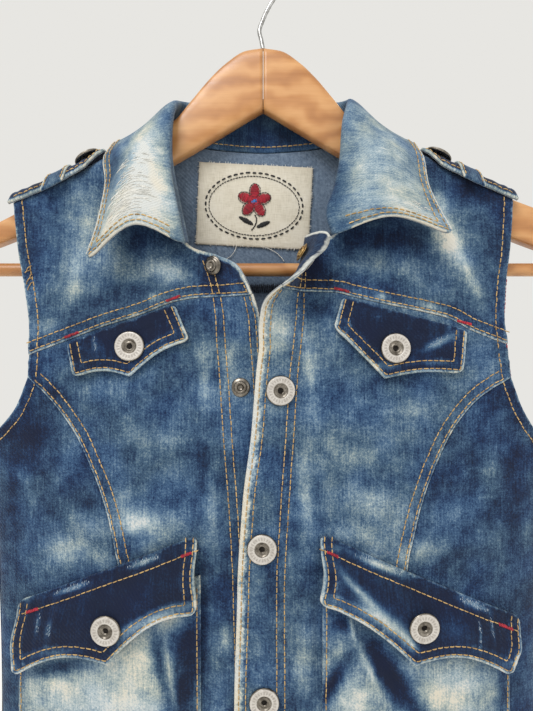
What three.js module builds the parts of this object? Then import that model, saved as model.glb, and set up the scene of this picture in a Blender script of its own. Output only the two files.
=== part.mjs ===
// A child's sleeveless denim vest, snapped over at the lower front and open at the neck,
// hanging on a flat wooden hanger with a round bar and a wire hook.
// Millimetres, +Z up, +X to the viewer's right, and the front of the vest faces -Y.
// The origin is where a rail carries the hook: the inside of the top of its bend.
// "right" and "left" are the wearer's, so right is at negative X.
import * as THREE from "three";

// Driving dimensions
const CLOTH = 1.4; // one layer of denim
const DOUBLE = 2.2; // collar, flaps and straps, which are two layers
const SEAM_GAP = 0.25; // half the gap between two pieces at a seam
const LAID_GAP = 0.4; // gap under a piece that lies on a panel
const CAP_GAP = 0.6; // gap under a snap on a band
const HEM_Z = -640;
const UNDERARM_Z = -350;
const SHOULDER_ROLL = 10; // radius with which the cloth goes over the hanger
const CAP_RADIUS = 9.8; // snap cap
const STUD_RADIUS = 6.2; // the snap's lower half
const WOOD_THICK = 12;
const WOOD_BEVEL = 2;
const BAR_RADIUS = 4.5;
const BAR_Z = -229;
const BAR_HALF = 203.6;
const WIRE_RADIUS = 1.5;
const HOOK_BEND = 22; // radius of the wire's centre line over the rail
const WOOD_TOP_Z = -78;

// Sizes by height: half width and middle of the body, and its depth before and behind the seams
const BODY = [
  { z: -100, half: 700, mid: 0, front: 9.5, back: 9.8 },
  { z: -160, half: 620, mid: 0, front: 10.2, back: 11.4 },
  { z: -200, half: 540, mid: 0, front: 13, back: 14 },
  { z: -250, half: 420, mid: 0, front: 18, back: 15.5 },
  { z: -300, half: 262, mid: 0.5, front: 22.5, back: 16.5 },
  { z: -325, half: 209, mid: 1, front: 23.5, back: 17 },
  { z: UNDERARM_Z, half: 192, mid: 1.5, front: 24, back: 17 },
  { z: -425, half: 184.5, mid: 3.5, front: 25, back: 17 },
  { z: -519, half: 183, mid: 4, front: 23.5, back: 17 },
  { z: -640, half: 188, mid: 4, front: 25, back: 18.5 },
];

// Top edge of the hanger's arms. The right arm droops a little more than the left one.
const CREST = [
  { x: 0, right: -78, left: -78 },
  { x: 12, right: -79.8, left: -79.8 },
  { x: 25, right: -88, left: -88 },
  { x: 36, right: -98.5, left: -98.5 },
  { x: 49, right: -114, left: -114 },
  { x: 60, right: -127, left: -127 },
  { x: 80, right: -140.5, left: -139 },
  { x: 110, right: -158, left: -155 },
  { x: 130, right: -169, left: -164.5 },
  { x: 150, right: -180.5, left: -173 },
  { x: 170, right: -192, left: -181.5 },
  { x: 200, right: -206, left: -192.5 },
  { x: 224, right: -213, left: -201 },
];

// Top of the vest's shoulders, which bridge the arms
const SHOULDER = [
  { x: 50, right: -112.5, left: -112.5 },
  { x: 60, right: -122.6, left: -122.6 },
  { x: 66.4, right: -127.6, left: -127.6 },
  { x: 80, right: -136.4, left: -135.4 },
  { x: 110, right: -153.6, left: -150.8 },
  { x: 130, right: -163.2, left: -160 },
  { x: 150, right: -171.8, left: -168.8 },
  { x: 170, right: -180, left: -177.6 },
];

// The button bands: the inner stitched row, the width from it to the front edge,
// and how far round, in degrees, the band curls towards the viewer
const LEFT_BAND = [
  { z: -208, seam: 31.5, width: 30, curl: 240 },
  { z: -221, seam: 30, width: 30, curl: 222 },
  { z: -230, seam: 28.4, width: 30, curl: 186 },
  { z: -238, seam: 28, width: 30, curl: 154 },
  { z: -243, seam: 27.6, width: 30, curl: 126 },
  { z: -248, seam: 27.3, width: 30, curl: 94 },
  { z: -253, seam: 27.1, width: 29.8, curl: 62 },
  { z: -259, seam: 27, width: 29.6, curl: 38 },
  { z: -272, seam: 26, width: 28.8, curl: 20 },
  { z: -285, seam: 24.5, width: 27, curl: 13 },
  { z: -300, seam: 22.8, width: 27, curl: 9 },
  { z: -336, seam: 20.4, width: 27.4, curl: 4 },
  { z: -382, seam: 17.1, width: 29.8, curl: 0 },
  { z: -440, seam: 14.2, width: 30.3, curl: 0 },
  { z: -515, seam: 14.4, width: 32.5, curl: 0 },
  { z: -640, seam: 14.5, width: 32.5, curl: 0 },
];
const RIGHT_BAND = [
  { z: -216, seam: -41.5, width: 29, curl: 80 },
  { z: -223, seam: -40.7, width: 29, curl: 78 },
  { z: -234, seam: -37, width: 29, curl: 66 },
  { z: -246.5, seam: -33.4, width: 29, curl: 52 },
  { z: -256, seam: -32, width: 29, curl: 30 },
  { z: -264, seam: -31, width: 29, curl: 13 },
  { z: -272, seam: -30.6, width: 29, curl: 5 },
  { z: -280, seam: -30.1, width: 29, curl: 0 },
  { z: -302, seam: -28.2, width: 29, curl: 0 },
  { z: -336, seam: -26, width: 29, curl: 0 },
  { z: -388, seam: -22, width: 29, curl: 0 },
  { z: -432, seam: -19.7, width: 29, curl: 0 },
  { z: -516, seam: -17.9, width: 29, curl: 0 },
  { z: -640, seam: -17.5, width: 29, curl: 0 },
];
const OVER_LAP = 1.9; // the left band is lifted this much to lie on the right one
const UNDER_LAP = 1.1; // and the right band is sunk this much
const LAP_RAMP = 14;

// Soft folds of the fronts and the back: a line, the half width and the height of its ridge
const FOLDS = [
  { side: 1, x0: 46, z0: -268, x1: 30, z1: -420, wide: 11, high: 2.6 },
  { side: 1, x0: 31, z0: -430, x1: 28, z1: -600, wide: 12, high: 2.2 },
  { side: 1, x0: 92, z0: -372, x1: 96, z1: -398, wide: 34, high: 3.5 },
  { side: 1, x0: 60, z0: -330, x1: 84, z1: -374, wide: 13, high: 1.8 },
  { side: 1, x0: 130, z0: -560, x1: 96, z1: -625, wide: 16, high: 3 },
  { side: 1, x0: -40, z0: -262, x1: -35, z1: -420, wide: 12, high: 2.4 },
  { side: 1, x0: -92, z0: -372, x1: -96, z1: -398, wide: 34, high: 3.5 },
  { side: 1, x0: -112, z0: -318, x1: -82, z1: -352, wide: 12, high: 2.2 },
  { side: 1, x0: -70, z0: -312, x1: -96, z1: -352, wide: 12, high: 1.8 },
  { side: 1, x0: -128, z0: -565, x1: -100, z1: -628, wide: 16, high: 3 },
  { side: -1, x0: -60, z0: -300, x1: -84, z1: -560, wide: 20, high: 3.2 },
  { side: -1, x0: 52, z0: -320, x1: 78, z1: -600, wide: 22, high: 3.4 },
  { side: -1, x0: -132, z0: -372, x1: -104, z1: -430, wide: 16, high: 2.4 },
  { side: -1, x0: 136, z0: -380, x1: 108, z1: -446, wide: 16, high: 2.4 },
  { side: -1, x0: -4, z0: -420, x1: 6, z1: -636, wide: 24, high: 2.6 },
];

// Seams and edges, from the armhole towards the centre or from the top down.
// Where the two sides differ, a row has X for the right and the left side.
const ARMHOLE_FRONT = [
  { t: 0, right: 167, left: 167, z: -180 },
  { t: 0.12, right: 165.2, left: 166, z: -196 },
  { t: 0.3, right: 161.6, left: 163.6, z: -220 },
  { t: 0.5, right: 156.3, left: 159.8, z: -244 },
  { t: 0.75, right: 152.8, left: 158, z: -268 },
  { t: 1, right: 152.6, left: 159.4, z: -284.5 },
];
const ARMHOLE_FLANK = [
  { t: 0, right: 152.6, left: 159.4, z: -284.5 },
  { t: 1, right: 153.4, left: 162, z: -302 },
];
const ARMHOLE_UNDER = [
  { t: 0, right: 192.5, left: 193.5, z: -350 },
  { t: 0.35, right: 175.5, left: 180.6, z: -336 },
  { t: 0.65, right: 163, left: 171, z: -322 },
  { t: 1, right: 153.4, left: 162, z: -302 },
];
const ARMHOLE_BACK = [
  { t: 0, x: 167, z: -180 },
  { t: 0.5, x: 165, z: -212 },
  { t: 1, x: 162.5, z: -240 },
];
const ARMHOLE_BACK_LOW = [
  { t: 0, x: 162.5, z: -240 },
  { t: 0.35, x: 161, z: -275 },
  { t: 0.65, x: 165, z: -306 },
  { t: 0.85, x: 176, z: -331 },
  { t: 1, x: 193.5, z: -350 },
];
const PRINCESS = [
  { t: 0, right: 153.4, left: 162, z: -302 },
  { t: 0.075, right: 139.5, left: 141, z: -316 },
  { t: 0.125, right: 129.5, left: 129.5, z: -328.5 },
  { t: 0.165, right: 121.5, left: 121.5, z: -340.4 },
  { t: 0.215, right: 113, left: 113, z: -357 },
  { t: 0.26, right: 106, left: 106, z: -373 },
  { t: 0.31, right: 100.5, left: 100.5, z: -390 },
  { t: 0.36, right: 96.5, left: 96.5, z: -407 },
  { t: 0.41, right: 93.5, left: 93.5, z: -422 },
  { t: 0.6, right: 90, left: 90, z: -490 },
  { t: 1, right: 88, left: 88, z: HEM_Z },
];
const YOKE_SEAM_RIGHT = [
  { t: 0, x: -152.6, z: -287.5 },
  { t: 0.24, x: -122.3, z: -276 },
  { t: 0.36, x: -104, z: -269 },
  { t: 0.5, x: -81, z: -261.7 },
  { t: 0.65, x: -56.6, z: -252.5 },
  { t: 0.74, x: -42.3, z: -250.3 },
  { t: 1, x: -4, z: -249 },
];
const YOKE_SEAM_LEFT = [
  { t: 0, x: 159.4, z: -280.5 },
  { t: 0.17, x: 134, z: -270.5 },
  { t: 0.25, x: 122.3, z: -264 },
  { t: 0.37, x: 102.8, z: -259 },
  { t: 0.5, x: 81, z: -254.5 },
  { t: 0.63, x: 61, z: -250 },
  { t: 0.74, x: 46, z: -246.5 },
  { t: 1, x: -2.5, z: -245.5 },
];
const NECK_RIGHT = [
  { t: 0, x: -66.4, z: -127.6 },
  { t: 0.15, x: -65, z: -146 },
  { t: 0.3, x: -61.8, z: -167 },
  { t: 0.45, x: -57, z: -190 },
  { t: 0.6, x: -52, z: -211 },
  { t: 0.68, x: -47, z: -216.4 },
  { t: 0.82, x: -28, z: -223 },
  { t: 0.93, x: -12, z: -231 },
  { t: 1, x: -6.4, z: -240 },
];
const NECK_LEFT = [
  { t: 0, x: 66.4, z: -127.6 },
  { t: 0.15, x: 65, z: -146 },
  { t: 0.3, x: 60.8, z: -165 },
  { t: 0.45, x: 55, z: -184 },
  { t: 0.6, x: 49, z: -202 },
  { t: 0.68, x: 44, z: -209.6 },
  { t: 0.86, x: 20, z: -210.2 },
  { t: 0.96, x: 5, z: -211.5 },
  { t: 1, x: 1.2, z: -214.5 },
];
const BACK_NECK = [
  { t: 0, x: -66.4, z: -127.6 },
  { t: 0.12, x: -54, z: -138.6 },
  { t: 0.3, x: -28, z: -143.6 },
  { t: 0.5, x: 0, z: -145.2 },
  { t: 0.7, x: 28, z: -143.6 },
  { t: 0.88, x: 54, z: -138.6 },
  { t: 1, x: 66.4, z: -127.6 },
];
const SHOULDER_SHARE = 0.45; // share of the yoke's top edge that is shoulder
const BACK_SHOULDER_SHARE = 0.3;
const SHOULDER_TIP_X = 167;
const SHOULDER_NECK_X = 66.4;
const BACK_YOKE_Z = -240;

// The collar in sections round the neck: where it meets the yokes, the top of its stand,
// the top of its leaf, the middle of the leaf and the leaf's edge
const COLLAR = [
  { u: -1, neck: [-50, -15, -213], rise: [-50, -29, -217], turn: [-52.5, -35, -217], mid: [-79, -39, -207.5], edge: [-110.5, -36, -231] },
  { u: -0.85, neck: [-55, -13.2, -190], rise: [-55.5, -27, -192], turn: [-58.5, -33, -191], mid: [-81, -34, -187], edge: [-104.5, -29, -205] },
  { u: -0.7, neck: [-60, -11.4, -166], rise: [-60, -22, -165], turn: [-63.5, -28, -164], mid: [-82, -28, -163], edge: [-101.5, -22, -178] },
  { u: -0.56, neck: [-63.2, -10, -144], rise: [-60.5, -16, -137], turn: [-65, -21, -137], mid: [-81, -18, -144], edge: [-104.5, -15.5, -159] },
  { u: -0.49, neck: [-64.7, -8.2, -131.4], rise: [-59.5, -9.5, -122.5], turn: [-64.3, -13.5, -124], mid: [-81, -10, -136], edge: [-103.6, -7, -149.5] },
  { u: -0.42, neck: [-64.9, 0, -124.8], rise: [-58.5, 0, -114.5], turn: [-63.5, 0, -115.5], mid: [-81, 1, -130.5], edge: [-103, 1, -143.6] },
  { u: -0.36, neck: [-63.2, 8.9, -130.4], rise: [-56, 8.6, -110.5], turn: [-60.5, 12.6, -112], mid: [-75, 14, -126], edge: [-94, 14.5, -148] },
  { u: -0.3, neck: [-53, 10.8, -136.8], rise: [-50.5, 12.5, -109], turn: [-55, 18.8, -111], mid: [-66, 19, -127], edge: [-80, 17.5, -154] },
  { u: -0.15, neck: [-28, 11.4, -142.2], rise: [-26.5, 12.8, -107], turn: [-28, 19, -109], mid: [-32, 19, -128], edge: [-40, 17.5, -160] },
  { u: 0, neck: [0, 11.6, -144], rise: [0, 12.8, -106.5], turn: [0, 19, -108.5], mid: [0, 19, -128], edge: [0, 17.5, -161.5] },
  { u: 0.15, neck: [28, 11.4, -142.2], rise: [26.5, 12.8, -107], turn: [28, 19, -109], mid: [32, 19, -128], edge: [40, 17.5, -160] },
  { u: 0.3, neck: [53, 10.8, -136.8], rise: [50.5, 12.5, -109], turn: [55, 18.8, -111], mid: [66, 19, -127], edge: [80, 17.5, -154] },
  { u: 0.36, neck: [63.2, 8.9, -130.4], rise: [56, 8.6, -110.3], turn: [60.5, 12.6, -111.8], mid: [75, 14, -126], edge: [94.5, 14.5, -148] },
  { u: 0.42, neck: [64.9, 0, -124.8], rise: [58.5, 0, -113.5], turn: [63.5, 0, -114.5], mid: [81, 1, -130], edge: [104, 1, -143.6] },
  { u: 0.49, neck: [64.7, -8.2, -131.4], rise: [56.5, -9.5, -122], turn: [61.3, -13.5, -123.5], mid: [80.4, -10, -135.5], edge: [104.4, -7, -149.5] },
  { u: 0.56, neck: [63.2, -10, -144], rise: [53, -16, -136], turn: [58, -21, -136], mid: [79, -18, -142], edge: [105.5, -15.5, -159] },
  { u: 0.7, neck: [59, -11.4, -164], rise: [50.5, -22, -162], turn: [55, -28, -161], mid: [78, -28, -161], edge: [106, -22, -176] },
  { u: 0.82, neck: [53.6, -12.6, -182], rise: [46, -26, -182], turn: [50.5, -31.5, -181], mid: [78, -33, -180], edge: [109.5, -28, -191] },
  { u: 0.92, neck: [48.4, -14, -197], rise: [41, -28.5, -199], turn: [45, -34, -198], mid: [77, -37, -194.5], edge: [115, -33, -205] },
  { u: 1, neck: [45, -15, -207.6], rise: [44.5, -29, -211.5], turn: [48, -35, -211.5], mid: [79, -39, -202.5], edge: [119, -36, -214] },
];
const FOLD_ROLL = 2.4; // how far the fold's crown stands past the tops of stand and leaf

// Pocket flaps: their corners, and how far the scalloped edges draw in beside the point
const FLAPS = [
  { name: "flap_chest_right", topIn: [-57.5, -255.2], topOut: [-126.5, -280.4], lowIn: [-46.2, -278.8], tip: [-85, -301.5], lowOut: [-121.4, -302.3], scoopIn: 4.5, scoopOut: 4, lift: 1.6 },
  { name: "flap_chest_left", topIn: [52, -250.6], topOut: [132, -271.8], lowIn: [45.2, -270.9], tip: [78, -302.7], lowOut: [128.4, -299.6], scoopIn: 0.8, scoopOut: 2.6, lift: 1.4 },
  { name: "flap_waist_right", topIn: [-41.5, -402.4], topOut: [-161.5, -450.5], lowIn: [-40.6, -448], tip: [-96.4, -481], lowOut: [-158, -494.5], scoopIn: 9, scoopOut: 9, lift: 10.4 },
  { name: "flap_waist_left", topIn: [37.4, -401.3], topOut: [170, -461.5], lowIn: [38.4, -445], tip: [96, -481], lowOut: [158.6, -492.5], scoopIn: 5, scoopOut: 9, lift: 10.6 },
];
// Patch pockets under the lower flaps
const POCKETS = [
  { name: "pocket_right", side: -1, inner: -40, outer: -162, topIn: -428, topOut: -466, low: -588 },
  { name: "pocket_left", side: 1, inner: 38, outer: 163, topIn: -428, topOut: -468, low: -588 },
];
const POCKET_WALL = 1.4;
const POCKET_PUFF = 3.2; // how far the middle of a pocket stands off the front

// Pleats of the pockets: shares across and down, half width and height of the ridge
const PLEATS = [
  { u0: 0.06, v0: 0.1, u1: 0.42, v1: 0.75, wide: 0.07, high: 2.4 },
  { u0: 0.1, v0: 0.12, u1: 0.12, v1: 0.85, wide: 0.06, high: 2 },
  { u0: 0.95, v0: 0.14, u1: 0.62, v1: 0.8, wide: 0.08, high: 2.2 },
];

// Snap caps on the cloth: the piece's extra height under the cap is the last column
const CAPS = [
  { name: "cap_chest_right", x: -85.4, z: -282.4, on: "flap_chest_right" },
  { name: "cap_chest_left", x: 85, z: -283.7, on: "flap_chest_left" },
  { name: "cap_waist_right", x: -96.6, z: -459, on: "flap_waist_right" },
  { name: "cap_waist_left", x: 99.4, z: -457.2, on: "flap_waist_left" },
  { name: "cap_front_2", x: 11, z: -310.5, on: "band" },
  { name: "cap_front_3", x: -0.5, z: -411, on: "band" },
  { name: "cap_front_4", x: 0.8, z: -509, on: "band" },
  { name: "cap_front_5", x: 0.8, z: -607, on: "band" },
];

// The open top snap of the left band, and the two studs that show on the right one
const TOP_SNAP = { a: 17, z: -224, gap: 1.9 };
const STUDS = [
  { name: "stud_front_1", a: -30.5, z: -229, gap: 2.2 },
  { name: "stud_front_2", a: -14.5, z: -308.6, gap: 0.6 },
];

const rad = THREE.MathUtils.degToRad;

// Monotone cubic interpolation through a table's rows, keyed by one column
function track(table, key, column) {
  const rows = [...table].sort((a, b) => a[key] - b[key]);
  const k = rows.map((r) => r[key]);
  const v = rows.map((r) => r[column]);
  const n = rows.length;
  const slope = [];
  for (let i = 0; i < n - 1; i++) slope.push((v[i + 1] - v[i]) / (k[i + 1] - k[i]));
  const tangent = [slope[0]];
  for (let i = 1; i < n - 1; i++) {
    const a = slope[i - 1];
    const b = slope[i];
    tangent.push(a * b <= 0 ? 0 : (2 * a * b) / (a + b));
  }
  tangent.push(slope[n - 2]);
  return (at) => {
    if (at <= k[0]) return v[0] + (at - k[0]) * (key === "t" ? tangent[0] : 0);
    if (at >= k[n - 1]) return v[n - 1] + (at - k[n - 1]) * (key === "t" ? tangent[n - 1] : 0);
    let i = 0;
    while (at > k[i + 1]) i++;
    const h = k[i + 1] - k[i];
    const s = (at - k[i]) / h;
    const s2 = s * s;
    const s3 = s2 * s;
    return (
      (2 * s3 - 3 * s2 + 1) * v[i] +
      (s3 - 2 * s2 + s) * h * tangent[i] +
      (3 * s2 - 2 * s3) * v[i + 1] +
      (s3 - s2) * h * tangent[i + 1]
    );
  };
}

// A seam as a function of t. A table with a column for each side is read for one side,
// mirrored to negative X on the right, and moved by dx.
function seam(table, side = 0, dx = 0) {
  const column = { 0: "x", 1: "left", "-1": "right" }[side];
  const x = track(table, "t", column);
  const z = track(table, "t", "z");
  return (t) => [(side || 1) * x(t) + dx, z(t)];
}

const half = track(BODY, "z", "half");
const middle = track(BODY, "z", "mid");
const depths = { 1: track(BODY, "z", "front"), "-1": track(BODY, "z", "back") };
const crest = { 1: track(CREST, "x", "left"), "-1": track(CREST, "x", "right") };
const shoulder = { 1: track(SHOULDER, "x", "left"), "-1": track(SHOULDER, "x", "right") };
const shoulderZ = (x) => shoulder[x < 0 ? -1 : 1](Math.abs(x));

const smooth = (t) => {
  const s = Math.min(1, Math.max(0, t));
  return s * s * (3 - 2 * s);
};

// Height of a ridge that runs from (x0, z0) to (x1, z1), at the point (x, z)
function ridge(x, z, x0, z0, x1, z1, wide, high) {
  const dx = x1 - x0;
  const dz = z1 - z0;
  const length2 = dx * dx + dz * dz;
  const along = ((x - x0) * dx + (z - z0) * dz) / length2;
  const held = Math.min(1, Math.max(0, along));
  const off = Math.hypot(x - x0 - held * dx, z - z0 - held * dz) / wide;
  return high * Math.exp(-off * off);
}

// The square of the body's plain depth. It falls to 0 at the side seams and the shoulders.
function depthSquared(side, x, z) {
  const across = (x - middle(z)) / half(z);
  const down = shoulderZ(x) - z;
  const over = down < SHOULDER_ROLL ? 1 - (1 - down / SHOULDER_ROLL) ** 2 : 1;
  return depths[side](z) ** 2 * (1 - across * across) * over;
}

function foldHeight(side, x, z) {
  const across = (x - middle(z)) / half(z);
  const down = shoulderZ(x) - z;
  const fade = Math.max(0, 1 - across * across) * smooth(down / 40);
  let high = 0;
  for (const f of FOLDS)
    if (f.side === side) high += ridge(x, z, f.x0, f.z0, f.x1, f.z1, f.wide, f.high);
  return high * fade;
}

// A point of the outside of the body. side is 1 for the front and -1 for the back.
function bodyPoint(side, x, z) {
  const deep = Math.sqrt(Math.max(0, depthSquared(side, x, z))) + foldHeight(side, x, z);
  return new THREE.Vector3(x, -side * Math.max(deep, SEAM_GAP), z);
}

// The outward direction there, from the surface's own equation
function bodyNormal(side, p) {
  const f = (x, y, z) => (-side * y - foldHeight(side, x, z)) ** 2 - depthSquared(side, x, z);
  const h = 0.01;
  return new THREE.Vector3(
    f(p.x + h, p.y, p.z) - f(p.x - h, p.y, p.z),
    f(p.x, p.y + h, p.z) - f(p.x, p.y - h, p.z),
    f(p.x, p.y, p.z + h) - f(p.x, p.y, p.z - h),
  ).normalize();
}

// The two fronts, with their bands. toward is the sign of X that leads to the centre front.
function bandOf(table) {
  return {
    seam: track(table, "z", "seam"),
    width: track(table, "z", "width"),
    curl: track(table, "z", "curl"),
  };
}
const FRONTS = {
  right: { band: bandOf(RIGHT_BAND), toward: 1, lap: -UNDER_LAP },
  left: { band: bandOf(LEFT_BAND), toward: -1, lap: OVER_LAP },
};

function edgeX(front, z) {
  return front.band.seam(z) + front.toward * front.band.width(z);
}

// An arc of a given length that starts at an angle and turns on by another
function arc(length, angle, turn) {
  if (Math.abs(turn) < 1e-4) return [length * Math.cos(angle), length * Math.sin(angle)];
  const radius = length / turn;
  return [
    radius * (Math.sin(angle + turn) - Math.sin(angle)),
    radius * (Math.cos(angle) - Math.cos(angle + turn)),
  ];
}

// A curled band bends twice, and is flat between, where the snap stiffens it
const BENDS = [
  { from: 0, to: 0.22, share: 0.5 },
  { from: 0.22, to: 0.72, share: 0 },
  { from: 0.72, to: 1, share: 0.5 },
];

// A point of a front, where a is its distance along the cloth in X
function frontPoint(front, a, z) {
  const start = front.band.seam(z);
  const reach = front.toward * (a - start);
  if (reach <= 0) return bodyPoint(1, a, z);
  const width = front.band.width(z);
  const curl = rad(front.band.curl(z));
  const p = bodyPoint(1, start, z);
  let angle = 0;
  for (const b of BENDS) {
    const last = b.to === 1;
    const done = Math.max(0, reach / width - b.from) / (b.to - b.from);
    const part = last ? done : Math.min(1, done);
    const [along, out] = arc(part * (b.to - b.from) * width, angle, part * b.share * curl);
    p.x += front.toward * along;
    p.y -= out;
    angle += part * b.share * curl;
  }
  p.y -= front.lap * smooth(reach / LAP_RAMP);
  return p;
}

function frontNormal(front, a, z) {
  const reach = front.toward * (a - front.band.seam(z));
  if (reach <= 0) return bodyNormal(1, bodyPoint(1, a, z));
  const h = 0.05;
  const da = frontPoint(front, a + h, z).sub(frontPoint(front, a - h, z));
  const dz = frontPoint(front, a, z + h).sub(frontPoint(front, a, z - h));
  return da.cross(dz).normalize();
}

// A patch between four edges, each a function of its own share from 0 to 1
function patch(top, bottom, left, right) {
  const mix = (a, b, t) => [a[0] + (b[0] - a[0]) * t, a[1] + (b[1] - a[1]) * t];
  const [tl, tr, bl, br] = [top(0), top(1), bottom(0), bottom(1)];
  return (u, v) => {
    const rows = mix(top(u), bottom(u), v);
    const columns = mix(left(v), right(v), u);
    const flat = mix(mix(tl, tr, u), mix(bl, br, u), v);
    return [rows[0] + columns[0] - flat[0], rows[1] + columns[1] - flat[1]];
  };
}

const even = (n) => Array.from({ length: n + 1 }, (_, i) => i / n);

// A closed wall over a grid of stops. at(u, v) gives the outer and inner points of one place.
function wall(stopsU, stopsV, at) {
  const nu = stopsU.length - 1;
  const nv = stopsV.length - 1;
  const positions = [];
  const index = [];
  for (const v of stopsV)
    for (const u of stopsU) {
      const [outer, inner] = at(u, v);
      positions.push(...outer.toArray(), ...inner.toArray());
    }
  const id = (i, j, layer) => 2 * (j * (nu + 1) + i) + layer;
  const quad = (a, b, c, d) => index.push(a, b, c, a, c, d);
  for (let j = 0; j < nv; j++)
    for (let i = 0; i < nu; i++) {
      quad(id(i, j, 0), id(i, j + 1, 0), id(i + 1, j + 1, 0), id(i + 1, j, 0));
      quad(id(i, j, 1), id(i + 1, j, 1), id(i + 1, j + 1, 1), id(i, j + 1, 1));
    }
  for (let i = 0; i < nu; i++) {
    quad(id(i, 0, 0), id(i + 1, 0, 0), id(i + 1, 0, 1), id(i, 0, 1));
    quad(id(i, nv, 0), id(i, nv, 1), id(i + 1, nv, 1), id(i + 1, nv, 0));
  }
  for (let j = 0; j < nv; j++) {
    quad(id(0, j, 0), id(0, j, 1), id(0, j + 1, 1), id(0, j + 1, 0));
    quad(id(nu, j, 0), id(nu, j + 1, 0), id(nu, j + 1, 1), id(nu, j, 1));
  }
  const geometry = new THREE.BufferGeometry();
  geometry.setAttribute("position", new THREE.Float32BufferAttribute(positions, 3));
  geometry.setIndex(volume(positions, index) < 0 ? index.reverse() : index);
  geometry.computeVertexNormals();
  return geometry;
}

function volume(positions, index) {
  const p = (n) => new THREE.Vector3().fromArray(positions, 3 * n);
  let sum = 0;
  for (let i = 0; i < index.length; i += 3)
    sum += p(index[i]).dot(p(index[i + 1]).cross(p(index[i + 2])));
  return sum / 6;
}

// A layer of cloth on a surface, from low to high above it
function layer(point, normal, low, high) {
  const p = point.clone().addScaledVector(normal, high);
  return [p, point.clone().addScaledVector(normal, low)];
}

const DENIM = new THREE.MeshStandardMaterial({ color: 0x35507a, roughness: 0.92, metalness: 0 });
const DARK_DENIM = new THREE.MeshStandardMaterial({ color: 0x1d2c4d, roughness: 0.9, metalness: 0 });
const FADED = new THREE.MeshStandardMaterial({ color: 0x9aa9b5, roughness: 0.92, metalness: 0 });
const METAL = new THREE.MeshStandardMaterial({ color: 0xcfcac2, roughness: 0.35, metalness: 0.9 });
const WOOD = new THREE.MeshStandardMaterial({ color: 0xd09a62, roughness: 0.45, metalness: 0 });
const CANVAS = new THREE.MeshStandardMaterial({ color: 0xded4bd, roughness: 0.95, metalness: 0 });

const vest = new THREE.Group();
function add(name, geometry, material) {
  const mesh = new THREE.Mesh(geometry, material);
  mesh.name = name;
  vest.add(mesh);
  return mesh;
}

// A front's piece over a patch of its cloth
function frontPiece(front, stopsU, stopsV, place) {
  return wall(stopsU, stopsV, (u, v) => {
    const [a, z] = place(u, v);
    return layer(frontPoint(front, a, z), frontNormal(front, a, z), -CLOTH, 0);
  });
}

function backPiece(stopsU, stopsV, place) {
  return wall(stopsU, stopsV, (u, v) => {
    const [x, z] = place(u, v);
    const p = bodyPoint(-1, x, z);
    return layer(p, bodyNormal(-1, p), -CLOTH, 0);
  });
}

// Rows of the yokes, crowded at the shoulder, where the cloth turns over the hanger
const YOKE_STOPS = [0, 0.01, 0.035, 0.08, 0.19, 0.37, 0.58, 0.79, 1];
// Columns of the front yokes: their shares of the top edge and of the seam below, the second of
// which the fronts use too
const COLUMNS = [
  { top: 0, seam: 0, front: true },
  { top: 0.075, seam: 0.1, front: true },
  { top: 0.15, seam: 0.2, front: true },
  { top: 0.225, seam: 0.3, front: true },
  { top: 0.3, seam: 0.4, front: true },
  { top: 0.375, seam: 0.5, front: true },
  { top: 0.45, seam: 0.6, front: true },
  { top: 0.54, seam: 0.635, front: false },
  { top: 0.63, seam: 0.67, front: true },
  { top: 0.73, seam: 0.705, front: false },
  { top: 0.824, seam: 0.74, front: true },
  { top: 0.876, seam: 0.84, front: true },
  { top: 0.892, seam: 0.86, front: false },
  { top: 0.907, seam: 0.88, front: true },
  { top: 0.923, seam: 0.9, front: false },
  { top: 0.938, seam: 0.92, front: true },
  { top: 0.954, seam: 0.94, front: false },
  { top: 0.969, seam: 0.96, front: true },
  { top: 0.985, seam: 0.98, front: false },
  { top: 1, seam: 1, front: true },
];
const FRONT_STOPS = COLUMNS.filter((c) => c.front).map((c) => c.seam);
const seamShare = track(COLUMNS, "top", "seam");
const FLANK_ROWS = 2;
const PRINCESS_ROWS = 18;

// The shoulder seam from its tip at the armhole to the neck
function shoulderEdge(side, t) {
  const x = side * (SHOULDER_TIP_X + (SHOULDER_NECK_X - SHOULDER_TIP_X) * t);
  return [x, shoulderZ(x)];
}

function frontYoke(name, front, side, neckTable, seamTable, cornerZ) {
  const neck = seam(neckTable);
  const top = (u) =>
    u < SHOULDER_SHARE
      ? shoulderEdge(side, u / SHOULDER_SHARE)
      : neck((u - SHOULDER_SHARE) / (1 - SHOULDER_SHARE));
  const low = seam(seamTable);
  const seamEnd = low(1)[1] + SEAM_GAP;
  const bottom = (u) => {
    const [x, z] = low(seamShare(u));
    return [u > 0.999 ? edgeX(front, seamEnd) : x, z + SEAM_GAP];
  };
  const arm = seam(ARMHOLE_FRONT, side);
  const seamStart = low(0)[1] + SEAM_GAP;
  const tipZ = shoulderEdge(side, 0)[1];
  const stretch = (seamStart - tipZ) / (arm(1)[1] - arm(0)[1]);
  const left = (v) => [arm(v)[0], tipZ + (arm(v)[1] - arm(0)[1]) * stretch];
  const right = (v) => {
    const z = cornerZ + (seamEnd - cornerZ) * v;
    return [edgeX(front, z), z];
  };
  const cornered = (u) => (u > 0.999 ? right(0) : top(u));
  const place = patch(cornered, bottom, left, right);
  add(name, frontPiece(front, COLUMNS.map((c) => c.top), YOKE_STOPS, place), DENIM);
}

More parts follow.
